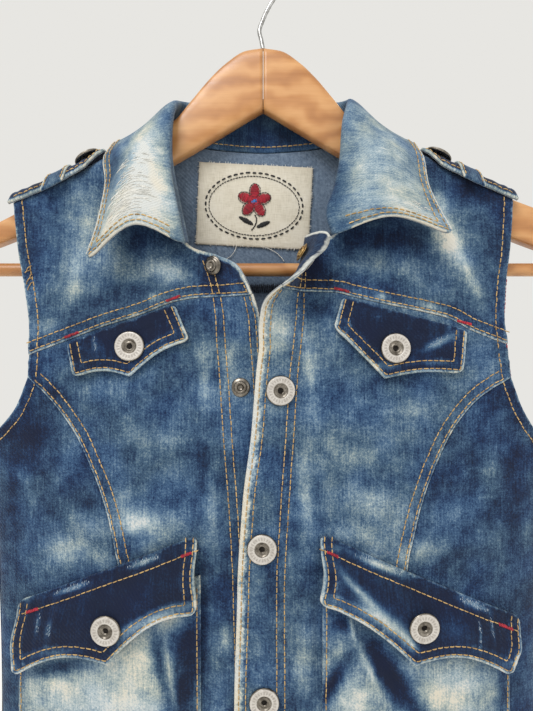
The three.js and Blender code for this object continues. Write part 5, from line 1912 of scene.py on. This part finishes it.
def build_straps():
    for strap in STRAPS:
        word = strap["word"]
        name = "shoulder_strap_" + word
        surface = strap_surface(strap, STRAP_OUT, STRAP_IN, 1, DOUBLE, True)
        long, half = float(surface.a[-1]), STRAP_HALF
        lines = [(0, -half), (long, -half)], [(0, half), (long, half)], [(long, -half), (long, half)]
        panel_of(name, surface, [Edge(line, 6, 0.3, (2,), 0.9) for line in lines], DOUBLE)
        across = even(36, start=-half, end=half)
        make_panel(name, even(70, end=long), across, as_is)
        name = "strap_loop_" + word
        surface = strap_surface(strap, LOOP_OUT, LOOP_IN, LOOP_WIDE, DOUBLE + LOOP_OVER)
        long, half = float(surface.a[-1]), LOOP_HALF
        edges = [Edge([(k, -half), (k, half)], 3, 0.25, (1.6,), 0.9, pull=0.1) for k in (0, long)]
        panel_of(name, surface, edges, LOOP_THICK)
        across = even(44, 1.2, -half, half)
        make_panel(name, even(14, 1.2, end=long), across, as_is)


def patch_at(a, b):
    return spun(a, b, PATCH["turn"], PATCH["x"], PATCH["z"])


def inside_back(gap):
    """A surface that faces forward, at this gap in front of the back's inner side."""
    return Laid(lambda a, z: -CLOTH - gap + 0 * (a + z), -1, -1)


def build_patch():
    w, t = PATCH["wide"] / 2, PATCH["tall"] / 2
    a, b, c, d = (patch_at(*corner) for corner in ((-w, t), (w, t), (w, -t), (-w, -t)))
    edge = Edge([a, b, c, d, a], 3, 0.2, (1.8,), 0.8, pull=0.15)
    panel_of("neck_patch", inside_back(LAID_GAP + PATCH_THICK), [edge], PATCH_THICK)
    at = patch(straight(a, b), straight(d, c), straight(a, d), straight(b, c))
    make_panel(
        "neck_patch",
        even(PATCH["wide"], 1.3),
        even(PATCH["tall"], 1.3),
        at,
        "canvas",
        "canvas",
    )


# Snaps, hanger and hook


def circle(sides):
    return np.linspace(0, 2 * np.pi, sides, endpoint=False)


def turned(name, profile, point, normal, metal_name, slot, sides=56, ring=False):
    """A turned piece: a profile of radius and height round an axis at a point, or a closed ring of it."""
    n = Vector(normal)
    turn = Vector((0, 0, 1)).rotation_difference(n)
    verts = []
    for r, h in profile:
        flat = [Vector((r * math.cos(a), r * math.sin(a), h)) for a in circle(sides)]
        verts += [(Vector(point) + turn @ v) * MM for v in flat]
    faces = ring_faces(len(profile), sides)
    last = (len(profile) - 1) * sides
    if ring:
        around = [(i, (i + 1) % sides) for i in range(sides)]
        faces += [(last + i, last + j, j, i) for i, j in around]
    else:
        faces += [tuple(range(sides - 1, -1, -1)), tuple(range(last, last + sides))]
    return place(name, new_mesh(name, verts, faces, flat_ends=True), MATERIALS[metal_name], slot)


CAP_PROFILE = (
    (8.6, 0), (9.4, 0.3), (9.8, 1.0), (9.6, 1.6), (9.1, 2.0), (8.3, 2.1), (6.6, 1.95),
    (4.7, 1.9), (4.3, 1.8), (3.9, 1.1), (3.1, 0.95), (2.7, 1.3), (2.2, 1.35), (1.9, 1.1), (1.7, 0.5),
)
HOLE_PROFILE = ((1.75, 0.6), (1.2, 0.5), (0.2, 0.45))
RING_PROFILE = (
    (9.15, 1.7), (9.2, 2.05), (8.9, 2.25), (8.3, 2.3), (7.9, 2.25), (7.7, 2.22), (6.1, 2.12), (5.8, 2.12),
    (5.3, 2.15), (4.9, 2.05), (4.7, 1.7),
)
STUD_PROFILE = (
    (6.0, 0), (6.2, 0.4), (6.1, 0.8), (5.2, 1.1), (4.1, 1.5), (3.8, 2.0), (3.9, 2.8), (3.6, 3.2),
    (2.7, 3.25), (2.2, 2.9), (1.9, 1.6), (0.3, 1.4),
)


SNAPS = rows(
    "name on a z",
    ("cap_chest_right", "flap_chest_right", -85.4, -282.4),
    ("cap_chest_left", "flap_chest_left", 85, -283.7),
    ("cap_waist_right", "flap_waist_right", -96.6, -459),
    ("cap_waist_left", "flap_waist_left", 99.4, -457.2),
    ("cap_front_2", "front_left", 11, -310.5),
    ("cap_front_3", "front_left", -0.5, -411),
    ("cap_front_4", "front_left", 0.8, -509),
    ("cap_front_5", "front_left", 0.8, -607),
)
FIRST_SNAP = (17.0, -224.0)
FIRST_SNAP_GAP = 1.9
STUDS = rows("a z gap", (-30.5, -229.0, 2.2), (-14.5, -308.6, 0.6))
STRAP_SNAP_X = 119
RING_SIDES = 96


def snap_cap(node, p, n):
    """A nickel cap with an enamelled ring, which has a circle of short radial marks."""
    obj = turned("snap_" + node, CAP_PROFILE, p, n, "nickel", "snap_metal")
    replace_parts(obj, node)
    face = turned("ring_" + node, RING_PROFILE, p, n, "enamel", "snap_metal", RING_SIDES, True)
    turned("eye_" + node, HOLE_PROFILE, p, n, "hole", "snap_metal", 20)
    tick = np.zeros((len(RING_PROFILE), RING_SIDES))
    marked = [k for k, (r, _) in enumerate(RING_PROFILE) if 5.9 < r < 7.9]
    tick[marked] = np.arange(RING_SIDES) % 4 < 2
    write_attribute(face.data, "tick", tick.reshape(-1, 1))


def spot_on(front, a, z):
    a, z = np.array([a]), np.array([z])
    return front.point(a, z)[0], front.normal(a, z)[0]


def build_snaps():
    for c in SNAPS:
        p, n = PANELS[c["on"]].at(np.array([c["a"]]), np.array([c["z"]]), 0.15)
        snap_cap(c["name"], p[0], n[0])
    p, n = spot_on(FRONTS[1], *FIRST_SNAP)
    snap_cap("cap_front_1", p + n * FIRST_SNAP_GAP, n)
    profile = [(r, h * 0.5) for r, h in STUD_PROFILE]
    behind = p - n * (CLOTH + FIRST_SNAP_GAP)
    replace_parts(turned("socket_1", profile, behind, -n, "brass", "stud_metal"), "socket_front_1")
    for k, stud in enumerate(STUDS, 1):
        p, n = spot_on(FRONTS[-1], stud["a"], stud["z"])
        obj = turned("stud_%d" % k, STUD_PROFILE, p + n * stud["gap"], n, "nickel", "stud_metal")
        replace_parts(obj, "stud_front_%d" % k)
    for strap in STRAPS:
        side = strap["side"]
        z = [float(strap_height(strap, STRAP_SNAP_X + dx)) for dx in (-2, 0, 2)]
        n = unit(np.array([(z[0] - z[2]) * side, 0, 4.0]))
        p = np.array([side * STRAP_SNAP_X, 1, z[1]]) + n * (DOUBLE + 0.5)
        snap_cap("cap_strap_" + strap["word"], p, n)


ARM_LOW = rows("x z", (0, -120), (60, -155.3), (110, -181), (168, -207.5), (204, -221))
HOOK = rows("x z", (0, -77.4), (-1.2, -71), (-2.6, -64.5), (-0.6, -58), (3.4, -49), (8.6, -40.5), (15.4, -32))


ARM_X = 204  # where an arm's round end begins
ARM_ROUND = 20
ARM_ROUND_FULL = 20.2
ARM_MIDDLE_Z = -226.5
ARM_FOOT_Z = -239
ARM_HALF_Y = 6
ARM_SQUARE = 5.0
BAR_HALF = 203.6
BAR_RADIUS = 4.5
BAR_Z = -229
HOOK_RADIUS = 22
HOOK_Z = -20.5
WIRE_RADIUS = 1.5


def arm_section(x, top, low):
    """An arm's upper and lower height at x, with its round end."""
    if x <= ARM_X:
        return float(top(x)), float(low(x))
    t = math.sqrt(max(0.0, 1 - ((x - ARM_X) / ARM_ROUND_FULL) ** 2))
    high = ARM_MIDDLE_Z + (float(top(ARM_X)) - ARM_MIDDLE_Z) * (0.35 + 0.65 * t)
    foot = ARM_MIDDLE_Z - (ARM_MIDDLE_Z - ARM_FOOT_Z) * max(t, 0.15)
    return high if t > 0.1 else ARM_MIDDLE_Z + 5, foot


def tube(name, rings, kind, slot, node):
    """A closed body through rings of points, in place of a node."""
    count, sides = rings.shape[:2]
    faces = ring_faces(count, sides)
    faces += [tuple(range(sides)), tuple(range((count - 1) * sides, count * sides))]
    mesh = new_mesh(name, (rings.reshape(-1, 3) * MM).tolist(), faces, flat_ends=True)
    face_outward(mesh)
    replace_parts(place(name, mesh, MATERIALS[kind], slot), node)


def build_hanger():
    low = track(ARM_LOW, "x", "z")
    angle = circle(32)
    c, s = np.cos(angle), np.sin(angle)
    rounded_c = np.sign(c) * np.abs(c) ** (2 / ARM_SQUARE)
    rounded_s = np.sign(s) * np.abs(s) ** (2 / ARM_SQUARE)
    end = ARM_X + ARM_ROUND * np.sin(np.linspace(0.05, np.pi / 2, 18))
    for side, word in SIDES:
        top = track(CREST, "x", word)
        rings = []
        for x in np.concatenate([np.linspace(0.2, ARM_X, 90), end]):
            high, foot = arm_section(x, top, low)
            half_y = ARM_HALF_Y * (1 if x < 216 else 0.93)
            z = (high + foot) / 2 + (high - foot) / 2 * rounded_s
            rings.append(np.stack([np.full(angle.shape, side * x), half_y * rounded_c, z], -1))
        tube("arm_" + word, np.array(rings), "wood", "wood", "hanger_arm_" + word)
    angle = circle(40)
    y, z = BAR_RADIUS * np.cos(angle), BAR_Z + BAR_RADIUS * np.sin(angle)
    xs = np.linspace(-BAR_HALF, BAR_HALF, 60)
    rings = [np.stack([np.full(angle.shape, x), y, z], -1) for x in xs]
    tube("bar", np.array(rings), "wood", "wood", "hanger_bar")
    path = [(r["x"], r["z"]) for r in HOOK]
    for degrees in range(-8, 206, 14):
        turn = math.radians(degrees)
        path.append((HOOK_RADIUS * math.cos(turn), HOOK_RADIUS * math.sin(turn) + HOOK_Z))
    path = np.array(path, float)
    s = lengths(path)
    at = np.linspace(0, s[-1], 140)
    xs, zs = (track([{"t": a, "v": b} for a, b in zip(s, column)], "t", "v")(at) for column in path.T)
    line = np.stack([xs, 0 * xs, zs], -1)
    outward = np.array((0, 1, 0))
    across = np.cross(unit(np.gradient(line, axis=0)), outward)
    angle = circle(18)[None, :, None]
    around = WIRE_RADIUS * np.cos(angle) * outward + WIRE_RADIUS * np.sin(angle) * across[:, None]
    tube("hook", line[:, None] + around, "steel", "wire", "hanger_hook")


# Stage


FLOOR_Z = -0.74
LIGHTS = rows(
    "name spot aim size power",
    ("key", (-0.6, -1.3, 1.1), (0, 0, -0.35), 0.9, 22),
    ("fill", (1.4, -1.1, -0.1), (0, 0, -0.35), 1.2, 3),
    ("behind", (0.2, 1.7, 0.8), (0, 0, -0.3), 1.5, 10),
)
CAMERA_SPOT = (0.0023, -0.355, -0.288)
LENS = 26.08
SENSOR = 36


def build_stage():
    scene = bpy.context.scene
    scene.world = bpy.data.worlds.new("studio")
    scene.world.use_nodes = True
    background = scene.world.node_tree.nodes["Background"]
    background.inputs[0].default_value = (0.8, 0.79, 0.76, 1)
    background.inputs[1].default_value = 1.0
    scene.view_settings.view_transform = "Standard"
    ring = [(math.cos(t), math.sin(t), FLOOR_Z) for t in circle(64)]
    mesh = new_mesh("floor", ring, [tuple(range(64))], flat_ends=True)
    mesh.materials.append(Shade("floor_cloth").finish(Base_Color=(0.86, 0.85, 0.82), Roughness=0.9))
    add("floor", mesh)
    for row in LIGHTS:
        data = bpy.data.lights.new(row["name"], "AREA")
        data.size = row["size"]
        data.energy = row["power"]
        light = add(row["name"], data)
        light.location = row["spot"]
        aim = Vector(row["aim"]) - Vector(row["spot"])
        light.rotation_euler = aim.to_track_quat("-Z", "Y").to_euler()
    data = bpy.data.cameras.new("camera")
    data.lens = LENS
    data.sensor_width = SENSOR
    data.clip_start = 0.02
    scene.camera = add("camera", data)
    scene.camera.location = CAMERA_SPOT
    scene.camera.rotation_euler = (math.pi / 2, 0, 0)


# Stitching


def inset(line, by, inner):
    """A line moved into its piece, without the loops that its corners would make."""
    line = np.asarray(line, float)
    keep = np.concatenate([[True], np.linalg.norm(np.diff(line, axis=0), axis=1) > 1e-6])
    line = line[keep]
    d = unit(np.diff(line, axis=0))
    n = np.stack([-d[:, 1], d[:, 0]], -1)
    middle = len(n) // 2
    if np.dot(n[middle], np.asarray(inner) - line[middle]) < 0:
        n = -n
    ends = np.stack([line[:-1] + n * by, line[1:] + n * by], 1).reshape(-1, 2)
    off, _ = line_distance(ends[:, 0], ends[:, 1], line)
    return ends[off > by * 0.985]


def between(line, start, end):
    """The part of a line between two shares of its length."""
    s = lengths(line)
    return follow(np.linspace(start * s[-1], end * s[-1], 160), s, line)


def stitch_fronts(thread):
    for side, word in SIDES:
        front = FRONTS[side]
        lines = front_lines(side)
        end, low = lines["end"], HEM_Z + HEM_ROW
        yoke, main, flank = (PANELS[k + word] for k in ("yoke_front_", "front_", "side_front_"))
        inside = (side * 110, -220)
        for by in FELL_ROWS:
            sew(thread, yoke, between(inset(lines["seam"], by, inside), 0.008, 0.995))
        sew(thread, yoke, between(inset(lines["arm"], ARM_ROW, inside), 0.02, 0.985))
        sew(thread, main, between(inset(lines["flank"], ARM_ROW, (side * 60, -300)), 0.05, 1))
        plackets = [(front.seam, by, -225 if side < 0 else -213) for by in PLACKET_ROWS]
        edges = [(front.edge, -by, CORNER_Z[side] - by) for by in FRONT_ROWS]
        for x_at, by, top in plackets + edges:
            row = lambda z: x_at(z) + front.toward * by
            sew(thread, yoke, by_z(row, top, end + 1))
            sew(thread, main, by_z(row, end - 1, HEM_Z + 3, 160))
        for by in PRINCESS_ROWS:
            sew(thread, main, between(inset(lines["princess"], by, (side * 40, -500)), 0.012, 0.992))
        sew(thread, flank, between(inset(lines["under"], ARM_ROW, (side * 170, -420)), 0.03, 0.99))
        foot = [(side * 88, low), (front.edge(low) - front.toward * 2, low)]
        sew(thread, main, between(foot, 0.01, 1))
        sew(thread, flank, between([(side * 186, low), (side * 88, low)], 0, 0.99))


def stitch_back(thread):
    yoke, back = PANELS["back_yoke"], PANELS["back_panel"]
    for by in FELL_ROWS:
        sew(thread, yoke, [(-161, BACK_YOKE_Z + by), (161, BACK_YOKE_Z + by)])
    for side in (-1, 1):
        arm = mirrored(samples(seam(ARMHOLE_BACK)), side)
        low = mirrored(samples(seam(ARMHOLE_BACK_LOW)), side)
        sew(thread, yoke, between(inset(arm, ARM_ROW, (0, -220)), 0.05, 0.98))
        sew(thread, back, between(inset(low, ARM_ROW, (0, -400)), 0.02, 0.97))
    sew(thread, back, [(-182, HEM_Z + HEM_ROW), (182, HEM_Z + HEM_ROW)])


def stitch_flaps(thread, red):
    for f in FLAPS:
        panel = PANELS["flap_" + f["name"]]
        kind, word = f["name"].split("_")
        low = samples(flap_edge(f), 90)
        ends = [samples(straight(f["top_" + k], f["low_" + k]), 30) for k in ("in", "out")]
        round_it = np.concatenate([ends[0], low[1:], ends[1][::-1][1:]])
        top_in, top_out = np.array(f["top_in"], float), np.array(f["top_out"], float)
        middle = (top_in + top_out + f["tip"]) / 3
        for by in FLAP_ROWS:
            sew(thread, panel, between(inset(round_it, by, middle), 0.004, 0.996))
        if kind == "waist":
            down = inset([top_in, (top_in + top_out) / 2, top_out], FLAP_TOP_ROW, middle)
            sew(thread, panel, between(down, 0.01, 0.99))
            for start, end in ((0.045, 0.1), (0.89, 0.955)):
                bar_tack(red, panel, between(down, start, end))
        else:
            side = 1 if word == "left" else -1
            seam_line = inset(front_lines(side)["seam"], FELL_ROWS[0], (side * 110, -220))
            ahead = unit(top_out - top_in) * 4.5
            for x in (f["top_in"][0], f["top_out"][0] - side * 2):
                near = seam_line[np.argmin(np.abs(seam_line[:, 0] - x))]
                bar_tack(red, PANELS["yoke_front_" + word], np.array([near - ahead, near + ahead]))
    for k in POCKETS:
        corners = pocket_corners(k)
        round_it = [samples(straight(a, b), 40) for a, b in zip(corners[:-1], corners[1:])]
        middle = (k["inner"] + k["outer"]) / 2, (k["top_in"] + k["low"]) / 2
        line = inset(np.concatenate(round_it), POCKET_ROW, middle)
        sew(thread, PANELS[k["name"]], between(line, 0.02, 0.98))


def bar_tack(red, panel, path):
    """A dense satin bar over a short path."""
    path = np.asarray(path, float)
    length = line_length(path)
    d = unit(path[-1] - path[0])
    n = np.array([-d[1], d[0]])
    for share in np.linspace(0, 1, max(6, int(length / 0.62))):
        middle = path[0] + (path[-1] - path[0]) * share
        lean = 0.35 if int(share * 100) % 2 else -0.35
        a, b = middle - n * 1.0 - d * lean, middle + n * 1.0 + d * lean
        sew(red, panel, [a, b], pitch=9, lift=0.35, radius=0.42, gap=0.1)


def stitch_collar(thread):
    collar = PANELS["collar"]
    long, wide = COLLAR_LONG, COLLAR_WIDE
    for by in COLLAR_ROWS:
        sew(thread, collar, [(-long + 4 + by, wide - by), (long - 5 - by, wide - by)])
    for side, first, second in ((-1, 4.1, 10.9), (1, 4.8, 12.5)):
        for by, back in zip((first, second), COLLAR_ROWS):
            sew(thread, collar, [(side * (long - by), 28), (side * (long - by), wide - back)])
    sew(thread, collar, [(-130, 3.5), (130, 3.5)])


def stitch_straps(thread):
    for word in ("right", "left"):
        strap = PANELS["shoulder_strap_" + word]
        long = float(strap.surface.a[-1])
        half = [(3, -11.5), (long - 12, -11.5), (long - 2.5, -11.3)]
        sew(thread, strap, half + [(a, -b) for a, b in reversed(half)])
        loop = PANELS["strap_loop_" + word]
        long = float(loop.surface.a[-1])
        for a in (1.6, long - 1.6):
            sew(thread, loop, [(a, -15), (a, 15)])


# The neck patch's picture: a flower inside a dashed oval

FLOWER = {"x": 0, "z": 3.5, "petal": 5.4, "wide": 3.7, "out": 6.4}


def on_patch(thread, points, pitch=90, lift=0.2, **how):
    """Sews a path given in the patch's own millimetres, in one stitch unless a pitch is given."""
    path = [patch_at(a, b) for a, b in points]
    sew(thread, PANELS["neck_patch"], path, pitch, lift, **how)


def satin(thread, cx, cz, half_long, half_wide, turn, pitch=0.72):
    """An ellipse filled with threads laid across it."""
    for t in np.arange(-half_long + 0.3, half_long, pitch):
        w = half_wide * math.sqrt(1 - (t / half_long) ** 2) + RNG.normal(0, 0.12)
        ends = [spun(t, q, turn, cx, cz) for q in (-w, w)]
        on_patch(thread, ends, radius=0.42, gap=0)


def oval(rx, rz):
    return [(rx * math.cos(t), rz * math.sin(t)) for t in np.linspace(0, 2 * math.pi, 90)]


def build_picture():
    red, black, blue = Thread(), Thread(), Thread()
    on_patch(black, oval(34.5, 23), pitch=4.4, radius=0.62, gap=1.3)
    on_patch(black, oval(32, 20.6), pitch=2.1, radius=0.34, gap=0.2)
    x, z = FLOWER["x"], FLOWER["z"]
    for k in range(5):
        turn = math.pi / 2 + k * 2 * math.pi / 5
        cx, cz = x + FLOWER["out"] * math.cos(turn), z + FLOWER["out"] * math.sin(turn)
        satin(red, cx, cz, FLOWER["petal"], FLOWER["wide"], turn)
        outline = oval(FLOWER["petal"] + 0.3, FLOWER["wide"] + 0.3)
        ring = [spun(p, q, turn, cx, cz) for p, q in outline]
        on_patch(black, ring, pitch=1.9, radius=0.3, gap=0.1, lift=0.3)
    satin(blue, x, z, 2.2, 2.2, 0.4, 0.6)
    stem = curve_through(x + 0.5, z - 9.5, x + 2.2, z - 14.5, x - 1.2, z - 20.5, 20)
    on_patch(black, stem, pitch=1.6, radius=0.5, gap=0)
    for side, high, long in ((-1, -15.5, 5.6), (1, -17.5, 5.0)):
        satin(black, x + 1 + side * 6.2, z + high + 1.6, long, 1.9, 0.45 * side, 0.6)
    red.build("patch_flower", "red", "canvas")
    black.build("patch_lines", "black", "canvas")
    blue.build("patch_centre", "blue", "canvas")


# Frayed and loose threads

ABRASIONS = rows(
    "on x z rx rz turn count long lean radius",
    ("collar", -212, 58, 24, 15, 0, 64, 22, 90, 0.28),
    ("collar", -180, 56, 14, 16, 0, 20, 12, 90, 0.26),
    ("collar", 232, 76, 14, 8, 0, 14, 8, 80, 0.2),
    ("flap_waist_right", -123, -438, 14, 1.5, 21, 46, 2, 85, 0.15),
    ("flap_waist_right", -76, -419, 12, 1.7, 21, 40, 2, 80, 0.15),
    ("flap_waist_right", -142.5, -460, 1.2, 5, 8, 10, 2.2, 95, 0.13),
    ("flap_waist_right", -134, -462, 1.4, 4, 0, 12, 2, 60, 0.13),
    ("flap_waist_left", 74, -421, 19, 1.9, -24, 52, 2, 95, 0.15),
    ("flap_waist_left", 137, -449.5, 12, 1.9, -24, 46, 2, 95, 0.15),
    ("flap_waist_left", 136, -465, 1, 7, -8, 12, 2.2, 95, 0.13),
    ("flap_waist_left", 146, -462, 1, 5, -8, 8, 2.2, 95, 0.13),
    ("flap_chest_right", -108, -281, 1.2, 6, 10, 10, 2.2, 95, 0.13),
    ("flap_chest_left", 113, -279, 10, 2, 26, 16, 2.2, 35, 0.13),
)


def fray(thread, panel, spot):
    """Short worn threads scattered over an oval place."""
    turn = math.radians(spot["turn"])
    for _ in range(spot["count"]):
        angle, out = RNG.uniform(0, 2 * math.pi), math.sqrt(RNG.random())
        p, q = spot["rx"] * out * math.cos(angle), spot["rz"] * out * math.sin(angle)
        x, z = spun(p, q, turn, spot["x"], spot["z"])
        lean = math.radians(spot["lean"] + RNG.normal(0, 7))
        half = spot["long"] * RNG.uniform(0.3, 1) / 2
        dx, dz = half * math.cos(lean), half * math.sin(lean)
        bow = RNG.normal(0, half * 0.12)
        line = curve_through(x - dx, z - dz, x + bow, z, x + dx, z + dz, 6)
        sew(thread, panel, line, max(half, 1.5), -0.05, radius=spot["radius"], gap=-0.2)


def build_frays():
    cream, bleached, ochre, navy = Thread(), Thread(), Thread(), Thread()
    for spot in ABRASIONS:
        fray(cream if spot["on"] == "collar" else bleached, PANELS[spot["on"]], spot)
    w, t = PATCH["wide"] / 2, PATCH["tall"] / 2
    for _ in range(150):
        side, share = RNG.integers(4), RNG.uniform(-1, 1)
        a, b = ((share * w, t), (share * w, -t), (w, share * t), (-w, share * t))[side]
        out = ((0, 1), (0, -1), (1, 0), (-1, 0))[side]
        long, slant = RNG.uniform(0.6, 1.7), RNG.normal(0, 0.7)
        end = (a + out[0] * long + out[1] * slant, b + out[1] * long + out[0] * slant)
        on_patch(cream, [(a - out[0], b - out[1]), end], lift=-0.3, radius=0.17, gap=0)
    behind = Panel(inside_back(0.9))
    for x0, z0, x1, z1, x2, z2 in ((-19, -209, -22, -216, -29, -220), (-2, -210, 8, -214, 15, -221)):
        sew(cream, behind, curve_through(x0, z0, x1, z1, x2, z2, 24), 1.3, 0.3, radius=0.28, gap=-0.4)
    for x in np.arange(-150, 150, 1.45):
        z = BACK_YOKE_Z + RNG.normal(0, 0.2)
        sew(navy, behind, [(x, z - 3.2), (x + 0.9, z + 3.2)], 9, 0.2, radius=0.5, gap=0)
    yoke = PANELS["yoke_front_right"]
    for x, z, dx, dz in (
        (-152.5, -229, -3, -3.5), (-152.3, -232, -4, -2), (-152, -234, -1.5, -5),
        (-151.8, -237, -3.5, -4.5), (-151.5, -240, -2.5, -5.5),
    ):
        line = curve_through(x, z, x + dx * 0.6, z + dz * 0.3, x + dx, z + dz, 10)
        sew(ochre, yoke, line, 1.3, 0.5, radius=0.3, gap=-0.3)
    cream.build("frayed_threads", "cream")
    bleached.build("frayed_flaps", "bleached")
    ochre.build("loose_threads", "ochre")
    navy.build("inner_seam_threads", "navy")


def build_stitching():
    red = Thread()
    for key, line in (("yoke_front_left", "arm"), ("front_left", "flank")):
        path = between(front_lines(1)[line], 0.55 if line == "arm" else 0.02, 0.99)
        sew(red, PANELS[key], path, 2.6, -1.0, radius=0.42, gap=0)
    for name, work in (
        ("stitches_front", stitch_fronts),
        ("stitches_back", stitch_back),
        ("stitches_flaps", lambda t: stitch_flaps(t, red)),
        ("stitches_collar", stitch_collar),
        ("stitches_straps", stitch_straps),
    ):
        thread = Thread()
        work(thread)
        thread.build(name, "ochre")
    red.build("bar_tacks", "red")


build_fronts()
build_back()
build_flaps()
build_pockets()
build_collar()
build_straps()
build_patch()
build_snaps()
build_hanger()
build_stitching()
build_picture()
build_frays()
build_stage()
